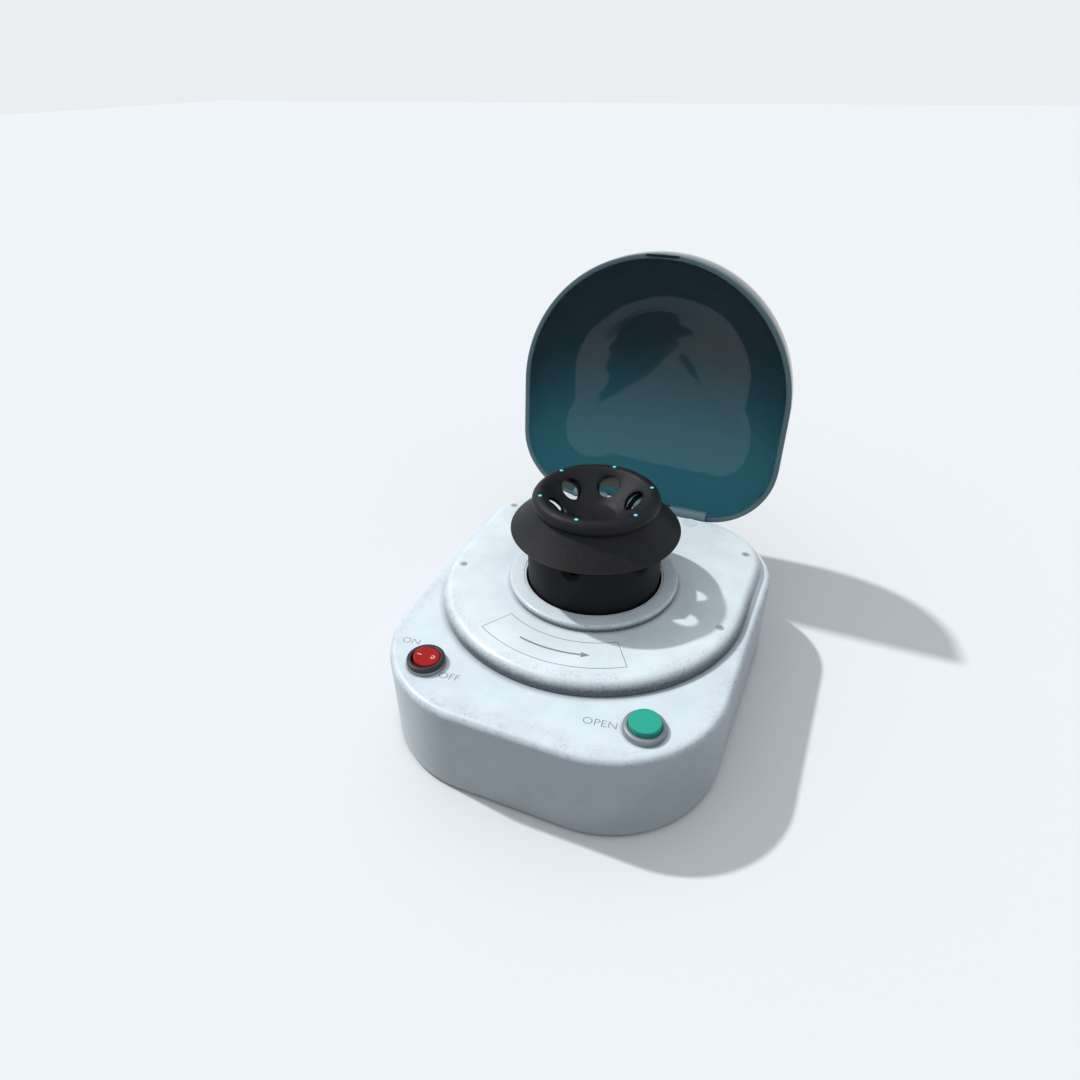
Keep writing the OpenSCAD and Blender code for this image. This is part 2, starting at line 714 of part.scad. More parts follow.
module rounded_ring(r, h, edge) rotate_extrude() union() {
    square([r - edge, h]);
    square([r, h - edge]);
    translate([r - edge, h - edge]) circle(edge, $fn = 32);
}

module switch_bezel() color("#202022") at_button(-1) difference() {
    union() {
        translate([0, 0, shelf_z + ring_h]) rounded_ring(bezel_r, bezel_h, 0.9);
        translate([0, 0, body_top]) cylinder(r = panel_hole_r - fit, h = bezel_top - body_top - past);
    }
    translate([0, 0, body_top - past]) cylinder(r = bezel_bore, h = 30);
    translate([0, 0, rocker_pin_z]) rotate([90, 0, 0])
        cylinder(r = rocker_pin_r + run, h = 2 * panel_hole_r - 1, center = true);
}

module rocker() color("firebrick") at_button(-1) translate([0, 0, rocker_pin_z])
    rotate([0, rocker_swing / 2, 0]) difference() {
        translate([0, 0, -2.5]) cylinder(r = rocker_r, h = bezel_top - rocker_pin_z + 3.4);
        translate([0, 0, bezel_top - rocker_pin_z + 22.5]) rotate([90, 0, 0])
            cylinder(r = 22, h = 30, center = true, $fn = 128);
        rotate([90, 0, 0]) cylinder(r = rocker_pin_r + run, h = 30, center = true);
    }

module rocker_pin() color("silver") at_button(-1) translate([0, 0, rocker_pin_z]) rotate([90, 0, 0])
    cylinder(r = rocker_pin_r, h = 2 * panel_hole_r - 2, center = true);

module switch_body() color("black") at_button(-1) translate([0, 0, body_top - body_h]) difference() {
    union() {
        cylinder(r = panel_hole_r - fit, h = body_h);
        for (x = [-4, 0, 4]) translate([x - 0.4, -2.4, -6]) cube([0.8, 4.8, 7]);
    }
    translate([0, 0, body_h - 3]) cylinder(r = bezel_bore, h = 9);
}

module button_ring() color("slategray") at_button(1) difference() {
    union() {
        translate([0, 0, shelf_z]) rounded_ring(button_ring_r, button_ring_h, 1.2);
        translate([0, 0, body_top]) cylinder(r = panel_hole_r - fit, h = shelf_z - body_top + 1);
    }
    translate([0, 0, body_top - past]) cylinder(r = cap_bore, h = 30);
}

module button_cap() color("mediumseagreen") at_button(1) {
    translate([0, 0, cap_top - cap_rise - cap_skirt])
        rounded_ring(cap_r, cap_rise + cap_skirt, 0.8);
    translate([0, 0, body_top - 3]) cylinder(r = stem_r, h = cap_top - cap_rise - cap_skirt - body_top + 3 + tiny);
}

module button_spring() color("silver") at_button(1) translate([0, 0, body_top + spring_wire]) {
    pitch = (cap_top - cap_rise - cap_skirt - body_top - 2 * spring_wire) / spring_turns;
    for (i = [0 : spring_turns]) translate([0, 0, i * pitch]) rotate_extrude()
        translate([spring_r, 0]) circle(spring_wire, $fn = 24);
}

module button_body() color("black") at_button(1) translate([0, 0, body_top - body_h]) difference() {
    union() {
        cylinder(r = panel_hole_r - fit, h = body_h);
        for (x = [-3, 3]) translate([x - 0.4, -1.4, -5]) cube([0.8, 2.8, 6]);
    }
    translate([0, 0, 4]) cylinder(r = stem_r + 0.2, h = body_h);
}

module button_nut() color("silver") for (s = [-1, 1]) at_button(s) translate([0, 0, shelf_z - wall - 2.5])
    difference() {
        cylinder(r = panel_hole_r + 3, h = 2.5, $fn = 6);
        translate([0, 0, -past]) cylinder(r = panel_hole_r, h = 9);
    }

/* Electronics */

module board_corners() at_rotor() for (sx = [-1, 1], sy = [-1, 1])
    translate([sx * (board_w / 2 - board_hole_in), board_y + sy * (board_d / 2 - board_hole_in), 0]) children();

module control_board() color("seagreen") difference() {
    at_rotor(board_z) translate([-board_w / 2, board_y - board_d / 2, 0]) cube([board_w, board_d, board_t]);
    board_corners() cylinder(r = screw_r + fit, h = deck_z);
}

module on_board(x, y) at_rotor(board_z + board_t) translate([x, board_y + y, 0]) children();

module board_screws() color("silver") board_corners() translate([0, 0, board_z + board_t])
    pan_screw(screw_r, board_t + 4, screw_head_r, screw_head_h);

module board_capacitors() color("navy") for (q = [[-24, 8], [-12, 8]]) on_board(q[0], q[1])
    cylinder(r = 4.5, h = 11);

module motor_driver() color("#222222") on_board(6, -2) cube([14, 10, 3]);

module driver_heatsink() color("silver") on_board(6, -2) translate([0, 0, 3]) {
    cube([14, 10, 1.5]);
    for (i = [0 : 4]) translate([i * 3.2, 0, 1.5 - tiny]) cube([1.2, 10, 6]);
}

module board_sockets() color("ivory") for (x = socket_at) on_board(x - socket_w / 2, socket_y) difference() {
    cube([socket_w, 5, socket_h]);
    translate([1, 1, 2]) cube([socket_w - 2, 3, socket_h]);
}

module at_inlet() translate([inlet_x, rotor_y + rear_reach, inlet_z]) rotate([90, 0, 0]) children();

module power_inlet() color("#202022") at_inlet() difference() {
    union() {
        translate([0, 0, -1]) cylinder(r = inlet_r + 1.5, h = 1);
        translate([0, 0, -tiny]) cylinder(r = inlet_r, h = inlet_len);
    }
    translate([0, 0, -2]) cylinder(r = 2.8, h = inlet_len - 2);
}

module inlet_nut() color("silver") at_inlet() translate([0, 0, wall]) difference() {
    cylinder(r = inlet_r + 2.5, h = inlet_nut_t, $fn = 6);
    translate([0, 0, -past]) cylinder(r = inlet_r + fit, h = 9);
}

// Last stretch of a wire, over a socket's wall and down into it
function into_socket(n) = let (y = board_y + socket_y + 2.5, z = board_z + board_t + socket_h)
    [for (q = [[-5, 3], [-1, 3.4], [-0.2, 2], [0.3, -2]]) [socket_at[n], y + q[0], z + q[1]]];

// Routes of the wires, as points about the rotor axis
inlet_route = concat([[inlet_x, rear_reach - inlet_len - 1.2, inlet_z], [inlet_x + 4, 60, 12], [40, 20, 8],
    [46, -40, 8], [47, -70, 10], [42, -88, 18]], into_socket(3));
switch_route = concat([[-button_x, -button_y, 20], [-48, -86, 18]], into_socket(0));
button_route = concat([[button_x - 3, -button_y, 21], [46, -91, 22], [20, -91, 21]], into_socket(2));

module wire_loom() color("crimson") at_rotor() for (route = [inlet_route, switch_route, button_route])
    wire(route, 0.9);

housing_shell();
base_plate();
rubber_feet();
base_screws();
deck_plate();
deck_screws();
deck_plugs();
collar_ring();
rotor_well();
well_screws();
motor_plate();
motor_dampers();
motor_can();
motor_magnets();
motor_end_cap();
shaft_bearings();
motor_screws();
motor_shaft();
motor_armature();
rotor_hub();
rotor_drum();
rotor_body();
rotor_dots();
drum_screws();
hinge_bracket();
hinge_screws();
hinge_pin();
lid_shell();
lid_barrel();
keeper_strip();
hold_magnet();
lid_sensor();
switch_ring();
switch_bezel();
switch_body();
rocker();
rocker_pin();
button_ring();
button_cap();
button_spring();
button_body();
button_nut();
control_board();
board_capacitors();
motor_driver();
driver_heatsink();
board_sockets();
board_screws();
power_inlet();
inlet_nut();
wire_loom();
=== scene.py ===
"""Dresses the mini centrifuge: moulded skins, rotor, lid, finishes, lettering, light and camera.

Sizes are millimetres about the rotor axis, with heights above the ground, unless a name says otherwise.
"""

from __future__ import annotations

import json
import logging
import math
from collections.abc import Callable, Sequence
from dataclasses import dataclass, replace
from enum import Enum
from functools import cache

import bmesh
import bpy
from mathutils import Matrix, Vector


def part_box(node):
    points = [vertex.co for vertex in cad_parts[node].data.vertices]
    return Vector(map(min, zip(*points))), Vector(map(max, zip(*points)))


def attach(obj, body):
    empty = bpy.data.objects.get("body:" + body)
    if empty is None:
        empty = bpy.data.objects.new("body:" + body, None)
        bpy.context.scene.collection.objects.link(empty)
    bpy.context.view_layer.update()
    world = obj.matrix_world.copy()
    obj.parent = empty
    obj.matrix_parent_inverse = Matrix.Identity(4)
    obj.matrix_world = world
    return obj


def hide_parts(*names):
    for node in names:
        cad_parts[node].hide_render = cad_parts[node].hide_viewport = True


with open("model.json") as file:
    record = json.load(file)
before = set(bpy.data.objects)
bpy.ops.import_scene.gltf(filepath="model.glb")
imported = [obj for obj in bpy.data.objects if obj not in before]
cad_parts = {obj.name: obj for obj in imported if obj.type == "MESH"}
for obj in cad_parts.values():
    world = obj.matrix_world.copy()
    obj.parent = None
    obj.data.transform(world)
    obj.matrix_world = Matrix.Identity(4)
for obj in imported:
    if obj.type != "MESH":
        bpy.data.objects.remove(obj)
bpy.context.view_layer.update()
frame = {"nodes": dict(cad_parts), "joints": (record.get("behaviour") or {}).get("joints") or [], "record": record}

LOG = logging.getLogger("centrifuge")
MM = 0.001
JOINTS = {joint["name"]: joint for joint in frame["joints"]}
AXIS_Y = Vector(JOINTS["rotor_spin"]["pos_m"]).y
UP = Vector((0, 0, 1))
SMOOTH_BELOW = math.radians(32)

# Millimetres: doubles merge, slivers go, vertices count as level, and cutters reach past what they cut.
SAME_PLACE = 1e-4
SLIVER = 1e-5
SAME_LEVEL = 1e-3
PAST = 1.0

Colour = tuple[int, int, int]
Linear = tuple[float, float, float, float]


def box_mm(node: str) -> tuple[Vector, Vector]:
    """Box of a node of the frame in millimetres about the rotor axis.

    Args:
        node: The node's name.

    Returns:
        Its lowest and highest corners.
    """
    shift = Vector((0, AXIS_Y, 0))
    low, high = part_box(node)
    return (low - shift) / MM, (high - shift) / MM


def middle_mm(node: str) -> tuple[float, float]:
    """Middle in plan of a node of the frame, in millimetres about the rotor axis."""
    low, high = box_mm(node)
    return (low.x + high.x) / 2, (low.y + high.y) / 2


HINGE = JOINTS["lid_hinge"]
BUTTONS = {"switch": middle_mm("switch_ring"), "open": middle_mm("button_ring")}
FOOT, SHELF = (corner.z for corner in box_mm("housing_shell"))
DECK = box_mm("deck_plate")[1].z


def linear(colour: Colour) -> Linear:
    """Turns a screen colour into the linear colour that a shader takes.

    Args:
        colour: Red, green and blue from 0 to 255.

    Returns:
        Linear red, green and blue, and an alpha of 1.
    """
    shares = [value / 255 for value in colour]
    return (*(share / 12.92 if share <= 0.04045 else ((share + 0.055) / 1.055) ** 2.4 for share in shares), 1.0)


def dimmed(colour: Linear, share: float) -> Linear:
    """A linear colour at a share of its brightness."""
    return (*(part * share for part in colour[:3]), 1.0)


def placed(name: str, data: bpy.types.ID) -> bpy.types.Object:
    """Makes an object of a mesh, curve, lamp or camera and links it to the scene.

    Args:
        name: The object's name.
        data: What it holds.

    Returns:
        The object.
    """
    made = bpy.data.objects.new(name, data)
    bpy.context.scene.collection.objects.link(made)
    return made


def settled(holder: bpy.types.Object) -> bpy.types.Mesh:
    """Mesh of an object with its modifiers or its lettering worked out."""
    return bpy.data.meshes.new_from_object(holder.evaluated_get(bpy.context.evaluated_depsgraph_get()))


# ---------------------------------------------------------------- finishes


class Wire:
    """A shader socket whose arithmetic adds Math nodes."""

    def __init__(self, shop: "Shop", socket: bpy.types.NodeSocket) -> None:
        """Wraps one output socket of a material under construction."""
        self.shop = shop
        self.socket = socket

    def _math(self, operation: str, *terms: object) -> "Wire":
        """Adds one Math node over the terms."""
        return self.shop.node("Math", {"operation": operation}, *terms)

    def __add__(self, other: object) -> "Wire":
        """Sum."""
        return self._math("ADD", self, other)

    def __sub__(self, other: object) -> "Wire":
        """Difference."""
        return self._math("SUBTRACT", self, other)

    def __rsub__(self, other: object) -> "Wire":
        """Difference from a number."""
        return self._math("SUBTRACT", other, self)

    def __mul__(self, other: object) -> "Wire":
        """Product."""
        return self._math("MULTIPLY", self, other)

    def __truediv__(self, other: object) -> "Wire":
        """Quotient."""
        return self._math("DIVIDE", self, other)

    def __pow__(self, other: object) -> "Wire":
        """Power."""
        return self._math("POWER", self, other)

    def __abs__(self) -> "Wire":
        """Absolute value."""
        return self._math("ABSOLUTE", self)

    __radd__ = __add__
    __rmul__ = __mul__

    def at_least(self, other: object) -> "Wire":
        """The larger of this and another value."""
        return self._math("MAXIMUM", self, other)

    def step(self, low: float, high: float) -> "Wire":
        """Smooth rise from 0 at low to 1 at high."""
        settings = {"interpolation_type": "SMOOTHSTEP"}
        return self.shop.node("MapRange", settings, self, low, high, 0.0, 1.0)


class Shop:
    """Builds the node tree of one material."""

    def __init__(self, name: str) -> None:
        """Starts an empty material with an output node.

        Args:
            name: The material's name.
        """
        self.material = bpy.data.materials.new(name)
        self.material.use_nodes = True
        self._start(self.material.node_tree, "ShaderNodeOutputMaterial")

    @classmethod
    def over(cls, tree: bpy.types.NodeTree, output: str) -> "Shop":
        """Starts on a tree that is not a material's, such as the world's.

        Args:
            tree: The tree.
            output: The type of its output node.

        Returns:
            The shop.
        """
        shop = cls.__new__(cls)
        shop._start(tree, output)
        return shop

    def _start(self, tree: bpy.types.NodeTree, output: str) -> None:
        """Empties a tree and gives it its output node.

        Args:
            tree: The tree.
            output: The type of its output node.
        """
        self.tree = tree
        self.tree.nodes.clear()
        self.output = self.tree.nodes.new(output)

    def node(self, kind: str, settings: dict[str, object] | None = None, *inputs: object,
             out: int | str = 0, **named: object) -> Wire:
        """Adds one shader node.

        Args:
            kind: The node's type without its ShaderNode prefix.
            settings: Properties to set first.
            inputs: Values or wires for the first sockets, in order; None leaves a socket alone.
            out: The output socket to return.
            named: Values or wires by socket name, with _ for a space.

        Returns:
            The chosen output.
        """
        made = self.tree.nodes.new("ShaderNode" + kind)
        for key, value in (settings or {}).items():
            setattr(made, key, value)
        pairs = list(enumerate(inputs)) + [(key.replace("_", " "), value) for key, value in named.items()]
        for key, value in pairs:
            if value is not None:
                self._feed(made.inputs[key], value)
        return Wire(self, made.outputs[out])

    def _feed(self, socket: bpy.types.NodeSocket, value: object) -> None:
        """Links a wire to a socket or sets its value.

        Args:
            socket: The input socket.
            value: A wire or a plain value.
        """
        if isinstance(value, Wire):
            self.tree.links.new(value.socket, socket)
        else:
            socket.default_value = value

    def place(self) -> Wire:
        """Object coordinates in metres."""
        return self.node("TexCoord", out="Object")

    def split(self, vector: Wire) -> tuple[Wire, Wire, Wire]:
        """Takes a vector apart.

        Args:
            vector: The vector.

        Returns:
            Its X, Y and Z.
        """
        first = self.node("SeparateXYZ", None, vector)
        made = first.socket.node
        return first, Wire(self, made.outputs[1]), Wire(self, made.outputs[2])

    def height(self) -> Wire:
        """Height above the ground in metres."""
        return self.split(self.place())[2]

    def above(self, low: float, high: float) -> Wire:
        """Smooth rise from 0 to 1 between two heights in millimetres."""
        return self.height().step(low * MM, high * MM)

    def noise(self, size_mm: float, detail: float = 3.0, stretch: Sequence[float] | None = None) -> Wire:
        """Noise whose features have a size in millimetres, stretched along the axes if asked.

        Args:
            size_mm: Size of one feature.
            detail: Octaves of finer noise.
            stretch: Share of that frequency along X, Y and Z.

        Returns:
            A value from about 0.25 to 0.75.
        """
        place = self.place()
        if stretch:
            place = self.node("Mapping", None, place, Scale=stretch)
        return self.node("TexNoise", None, place, None, 1 / (size_mm * MM), detail, 0.55)

    def blend(self, share: object, low: object, high: object) -> Wire:
        """Mixes two colours by a share."""
        return self.node("Mix", {"data_type": "RGBA"}, share, *[None] * 5, low, high, out=2)

    def bump(self, height: Wire, rise_mm: float) -> Wire:
        """Bump normal from a height of 0 to 1 that stands for a rise in millimetres."""
        return self.node("Bump", None, 1.0, rise_mm * MM, Height=height)

    def show(self, surface: Wire) -> None:
        """Links a shader to the output."""
        self.tree.links.new(surface.socket, self.output.inputs["Surface"])

    def shade(self, **sockets: object) -> bpy.types.Material:
        """Finishes the material with one Principled shader.

        Args:
            sockets: Values or wires by socket name, with _ for a space.

        Returns:
            The material.
        """
        self.show(self.node("BsdfPrincipled", None, **sockets))
        return self.material


@dataclass(frozen=True)
class Plastic:
    """Moulded plastic with a fine grain, faint clouding, grime along its edges and painted shade in its corners."""

    name: str
    colour: Colour
    roughness: float = 0.42
    grime: Colour = (168, 172, 186)
    grime_share: float = 0.0
    # Colour of the painted shade in corners and on the side turned from the key lamp.
    dirt: Colour = (82, 90, 97)
    clouding: float = 0.04
    grain_mm: float = 0.02
    coat: float = 0.0
    level: float = 0.5
    rubbed: Callable[[Shop], Wire] | None = None
    corners: Callable[[Shop], Wire] | None = None

    def make(self) -> bpy.types.Material:
        """Builds the finish.

        Returns:
            The material.
        """
        shop = Shop(self.name)
        cloud = shop.noise(18, 4)
        fine = shop.noise(1.1, 5)
        base = linear(self.colour)
        colour = shop.blend(cloud.step(0.3, 0.7), dimmed(base, 1 - 2 * self.clouding), base)
        rough = self.roughness + (fine - 0.5) * 0.16 + (cloud - 0.5) * 0.1
        if self.grime_share:
            worn = self._worn(shop, fine)
            colour = shop.blend(worn, colour, linear(self.grime))
            rough = rough + worn * 0.2
        # Painted shade: corners and the side turned from the key lamp are darkened towards the shade colour.
        if self.corners:
            painted_shade = self.corners(shop) * (0.75 + 0.5 * fine)
            colour = shop.blend(painted_shade, colour, linear(self.dirt))
            rough = rough + painted_shade * 0.15
        grain = shop.noise(0.35, 2)
        return shop.shade(Base_Color=colour, Roughness=rough, Coat_Weight=self.coat, Coat_Roughness=0.12,
                          Specular_IOR_Level=self.level, Normal=shop.bump(grain, self.grain_mm))

    def _worn(self, shop: Shop, fine: Wire) -> Wire:
        """Finds the grime: on rounded edges and in the finish's own band, broken into smears and specks.

        Args:
            shop: The material under construction.
            fine: Fine noise of the material.

        Returns:
            Its share.
        """
        lean = shop.split(shop.node("TexCoord", out="Normal"))[2]
        where = (4 * lean * (1 - lean)).step(0.05, 0.9)
        if self.rubbed:
            where = where.at_least(self.rubbed(shop) * lean.step(0.9, 0.99))
        smears = shop.noise(12, 6).step(0.32, 0.6)
        scuffs = shop.noise(2.2, 8).step(0.4, 0.62)
        specks = fine.step(0.42, 0.62)
        return where * smears * (0.35 + 0.65 * scuffs) * (0.4 + 0.6 * specks) * self.grime_share


@dataclass(frozen=True)
class TintedPlastic:
    """Clear tinted plastic with hairline scratches and a little dust; its tint is painted lighter towards the bottom
    as a painted reflection of the white deck, and its cut rim carries a painted highlight.
    """

    name: str
    high: Colour
    low: Colour
    rim: Colour
    # Heights over which the painted reflection fades from the low colour to the high one.
    deepens: tuple[float, float] = (50, 145)
    rim_width: tuple[float, float] = (0.9, 2.2)
    index: float = 1.3

    def make(self) -> bpy.types.Material:
        """Builds the finish.

        Returns:
            The material.
        """
        shop = Shop(self.name)
        share = shop.above(*self.deepens)
        dust = shop.noise(0.9, 6).step(0.58, 0.8)
        hair = shop.noise(3, 3, (1, 0.06, 1)).step(0.6, 0.66)
        # Painted reflection: the tint lightens towards the bottom as if the white deck were mirrored there.
        tint_and_reflection = shop.blend(share, linear(self.low), linear(self.high))
        rough = 0.03 + 0.08 * dust + 0.05 * hair
        clear = shop.node("BsdfPrincipled", None, Base_Color=tint_and_reflection, Roughness=rough, Transmission_Weight=1.0,
                          IOR=self.index, Specular_IOR_Level=0.0, Coat_Weight=0.2 + 0.1 * dust, Coat_Roughness=0.1)
        # The cut rim is a matt edge painted light teal as a painted highlight.
        cut = shop.node("BsdfPrincipled", None, Base_Color=shop.blend(dust * 0.3, linear(self.rim), linear(self.low)),
                        Roughness=0.3 + 0.1 * dust, Specular_IOR_Level=0.3)
        shop.show(shop.node("MixShader", None, self._rim_share(shop), clear, cut))
        return shop.material

    def _rim_share(self, shop: Shop) -> Wire:
        """Finds the cut edge of the open lid's rim by distance from the rim's plane through the hinge.

        Args:
            shop: The material under construction.

        Returns:
            1 on the cut edge, 0 past it.
        """
        turn = math.radians(-HINGE["range_deg"][1])
        _, y, z = shop.split(shop.place())
        out = (HINGE["pos_m"][1] - y) * math.sin(turn) + (z - HINGE["pos_m"][2]) * math.cos(turn)
        return 1 - out.step(self.rim_width[0] * MM, self.rim_width[1] * MM)


@dataclass(frozen=True)
class Metal:
    """Bare or plated metal with turned or brushed lines."""

    name: str
    colour: Colour
    roughness: float = 0.32
    lines: tuple[float, float, float] = (1, 1, 12)
    metallic: float = 1.0

    def make(self) -> bpy.types.Material:
        """Builds the finish.

        Returns:
            The material.
        """
        shop = Shop(self.name)
        brushed = shop.noise(1.2, 4, self.lines)
        stain = shop.noise(7, 4).step(0.35, 0.7)
        base = linear(self.colour)
        return shop.shade(Base_Color=shop.blend(stain, base, dimmed(base, 0.78)), Metallic=self.metallic,
                          Roughness=self.roughness + (brushed - 0.5) * 0.25 + stain * 0.06,
                          Normal=shop.bump(brushed, 0.01))


@dataclass(frozen=True)
class Rubber:
    """Matt elastomer with a coarse skin."""

    name: str
    colour: Colour

    def make(self) -> bpy.types.Material:
        """Builds the finish.

        Returns:
            The material.
        """
        shop = Shop(self.name)
        skin = shop.noise(0.6, 5)
        dust = shop.noise(5, 5).step(0.5, 0.75)
        colour = shop.blend(dust * 0.35, linear(self.colour), linear((96, 96, 98)))
        return shop.shade(Base_Color=colour, Roughness=0.75 + dust * 0.15, Normal=shop.bump(skin, 0.05))


@dataclass(frozen=True)
class Paint:
    """Thin printed ink that has rubbed away in specks."""

    name: str
    colour: Colour
    under: Colour

    def make(self) -> bpy.types.Material:
        """Builds the finish.

        Returns:
            The material.
        """
        shop = Shop(self.name)
        rubbed = shop.noise(0.7, 5).step(0.56, 0.72)
        colour = shop.blend(rubbed * 0.7, linear(self.colour), linear(self.under))
        return shop.shade(Base_Color=colour, Roughness=0.5 + rubbed * 0.1)


@dataclass(frozen=True)
class Glowing:
    """Bright paint with a painted glow: it emits light so that it keeps its colour in shade."""

    name: str
    colour: Colour
    glow: float = 0.35

    def make(self) -> bpy.types.Material:
        """Builds the finish.

        Returns:
            The material.
        """
        shop = Shop(self.name)
        tone = shop.noise(0.5, 3)
        colour = shop.blend(tone.step(0.3, 0.8) * 0.2, linear(self.colour), linear((220, 250, 255)))
        # The emission is a painted glow; the markers are no lamp.
        return shop.shade(Base_Color=colour, Roughness=0.35 + tone * 0.1, Emission_Color=colour,
                          Emission_Strength=self.glow)


def from_point(shop: Shop, at: Sequence[float] = (0, 0)) -> tuple[Wire, Wire, Wire]:
    """Measures in plan from an upright line.

    Args:
        shop: The material under construction.
        at: The line's place in millimetres about the rotor axis.

    Returns:
        Metres to the right, to the rear and straight.
    """
    x, y, _ = shop.split(shop.place())
    across, along = x - at[0] * MM, y - (AXIS_Y + at[1] * MM)
    return across, along, (across * across + along * along) ** 0.5


def near_ring(shop: Shop, at: Sequence[float], radius: float, reach: float) -> Wire:
    """1 at a circle about a point, fading to 0 at a reach outside it, in millimetres."""
    far = from_point(shop, at)[2]
    return (1 - far.step(radius * MM, (radius + reach) * MM)) * far.step((radius - 2) * MM, (radius - 1) * MM)


def front_share(shop: Shop, start: float, full: float) -> Wire:
    """Share that grows from the left round to the front right of the rotor axis."""
    across, along, far = from_point(shop)
    return ((0.5 * across - 0.87 * along) / (far + 1e-4)).step(start, full)


def shelf_rim(shop: Shop) -> Wire:
    """Finds the band of the shelf just inside the housing's top edge, strongest at the front.

    Args:
        shop: The material under construction.

    Returns:
        Its share.
    """
    low, high = box_mm("housing_shell")
    x, y, _ = shop.split(shop.place())
    corner, starts, full = 50 * MM, -14 * MM, -3 * MM
    half_x = high.x * MM - corner
    half_y = (high.y - low.y) / 2 * MM - corner
    middle = AXIS_Y + (high.y + low.y) / 2 * MM
    beyond_x = (abs(x) - half_x).at_least(0.0)
    beyond_y = (abs(y - middle) - half_y).at_least(0.0)
    out = (beyond_x * beyond_x + beyond_y * beyond_y) ** 0.5 - corner
    front = 1 - 0.75 * y.step(AXIS_Y - 60 * MM, AXIS_Y + 20 * MM)
    return out.step(starts, full) * front


def shelf_painted_shade(shop: Shop) -> Wire:
    """Painted shade on the shelf along the deck's foot and round the buttons, where contact shadows fall."""
    deck = near_ring(shop, (0, 0), 80, 3.5) * front_share(shop, -0.9, 0.6) * 0.5
    return deck.at_least(near_ring(shop, BUTTONS["switch"], 9.3, 1.6) * 0.45).at_least(
        near_ring(shop, BUTTONS["open"], 9.5, 1.6) * 0.45)


def deck_rim(shop: Shop) -> Wire:
    """Band of the deck just inside its round front edge."""
    _, along, far = from_point(shop)
    return far.step(68 * MM, 77 * MM) * (1 - 0.75 * along.step(-30 * MM, 30 * MM))


def deck_painted_shade(shop: Shop) -> Wire:
    """Painted shade on the lower half of the deck's edge, strongest on the front side turned from the key lamp, and a
    painted contact shadow round the collar.
    """
    foot = (1 - shop.above(DECK - 4.8, DECK + 0.2)) * (0.2 + 0.8 * front_share(shop, -0.2, 0.6))
    return foot.at_least(near_ring(shop, (0, 0), 44.2, 2.6) * 0.4)


def collar_painted_shade(shop: Shop) -> Wire:
    """Painted shade on the lower part of the collar's outer edge, strongest on the front side turned from the key
    lamp.
    """
    return (1 - shop.above(DECK + 1, DECK + 3.9)) * (0.15 + 0.85 * front_share(shop, -0.2, 0.6)) * 0.95


class Slot(Enum):
    """The record's material slots and their finishes."""

    HOUSING_WHITE = Plastic("white_moulding", (226, 238, 246), 0.34, (186, 191, 204), 0.85, coat=0.2,
                            rubbed=shelf_rim, corners=shelf_painted_shade)
    BASE_GREY = Plastic("grey_moulding", (86, 90, 95), 0.5, clouding=0.08, grain_mm=0.05)
    RUBBER = Rubber("foot_rubber", (38, 39, 41))
    STEEL = Metal("plated_steel", (178, 182, 186))
    RING_GREY = Metal("satin_ring", (150, 156, 163), 0.5, (1, 1, 6), 0.55)
    WELL_GREY = Plastic("well_moulding", (122, 130, 138), 0.45, clouding=0.07)
    ROTOR_CHARCOAL = Plastic("charcoal_moulding", (26, 26, 30), 0.5, (52, 53, 58), 0.4, clouding=0.12, grain_mm=0.03,
                             level=0.2)
    MARKER_CYAN = Glowing("cyan_marker", (64, 206, 222))
    # The lid's low colour holds a painted reflection and its rim colour a painted highlight.
    LID_TEAL = TintedPlastic("teal_lid", (26, 38, 44), (42, 92, 103), (112, 142, 148))
    SWITCH_BLACK = Plastic("black_moulding", (30, 31, 33), 0.4, (66, 68, 71), 0.5, clouding=0.1)
    ROCKER_RED = Plastic("red_rocker", (176, 28, 22), 0.3, (116, 19, 15), 0.35, clouding=0.05, coat=0.08, level=0.15)
    BUTTON_GREEN = Plastic("green_cap", (40, 174, 152), 0.5, (24, 106, 92), 0.5, clouding=0.05, level=0.3)
    BOARD_GREEN = Plastic("board_laminate", (26, 92, 58), 0.35, clouding=0.1, coat=0.4)
    COPPER = Metal("motor_copper", (190, 116, 74), 0.3)
    PART_BLACK = Plastic("part_black", (34, 35, 38), 0.5, clouding=0.1)
    SOCKET_IVORY = Plastic("socket_ivory", (226, 218, 196), 0.45)
    ALUMINIUM = Metal("turned_aluminium", (205, 208, 210), 0.28)
    WIRE_RED = Plastic("wire_red", (176, 30, 32), 0.4)


class Extra(Enum):
    """Finishes of pieces that share a slot with another finish."""

    # The deck's white is lighter than the housing's as painted light that offsets the shade of the open lid.
    DECK_WHITE = Plastic("deck_moulding", (237, 249, 255), 0.3, (194, 199, 210), 0.8, coat=0.2, rubbed=deck_rim,
                         corners=deck_painted_shade)
    COLLAR_WHITE = Plastic("collar_moulding", (236, 247, 254), 0.28, (160, 166, 174), 0.7, coat=0.4,
                           corners=collar_painted_shade)
    DRUM_BLACK = Plastic("drum_moulding", (24, 24, 25), 0.55, clouding=0.12, grain_mm=0.03, level=0.15)
    SCREW_GREY = Metal("satin_screw", (196, 202, 206), 0.55, metallic=0.3)
    DARK_STEEL = Metal("blackened_steel", (44, 54, 58), 0.5)
    INK_GREY = Paint("ink_grey", (128, 138, 148), (228, 236, 243))
    INK_WHITE = Paint("ink_white", (238, 226, 222), (186, 34, 28))


@cache
def finish_of(choice: Slot | Extra) -> bpy.types.Material:
    """The material of a slot or an extra finish, built once."""
    return choice.value.make()


# ---------------------------------------------------------------- shapes


def only(kind: type, items: Sequence[object]) -> list:
    """The vertices or the edges among an operator's results."""
    return [item for item in items if isinstance(item, kind)]


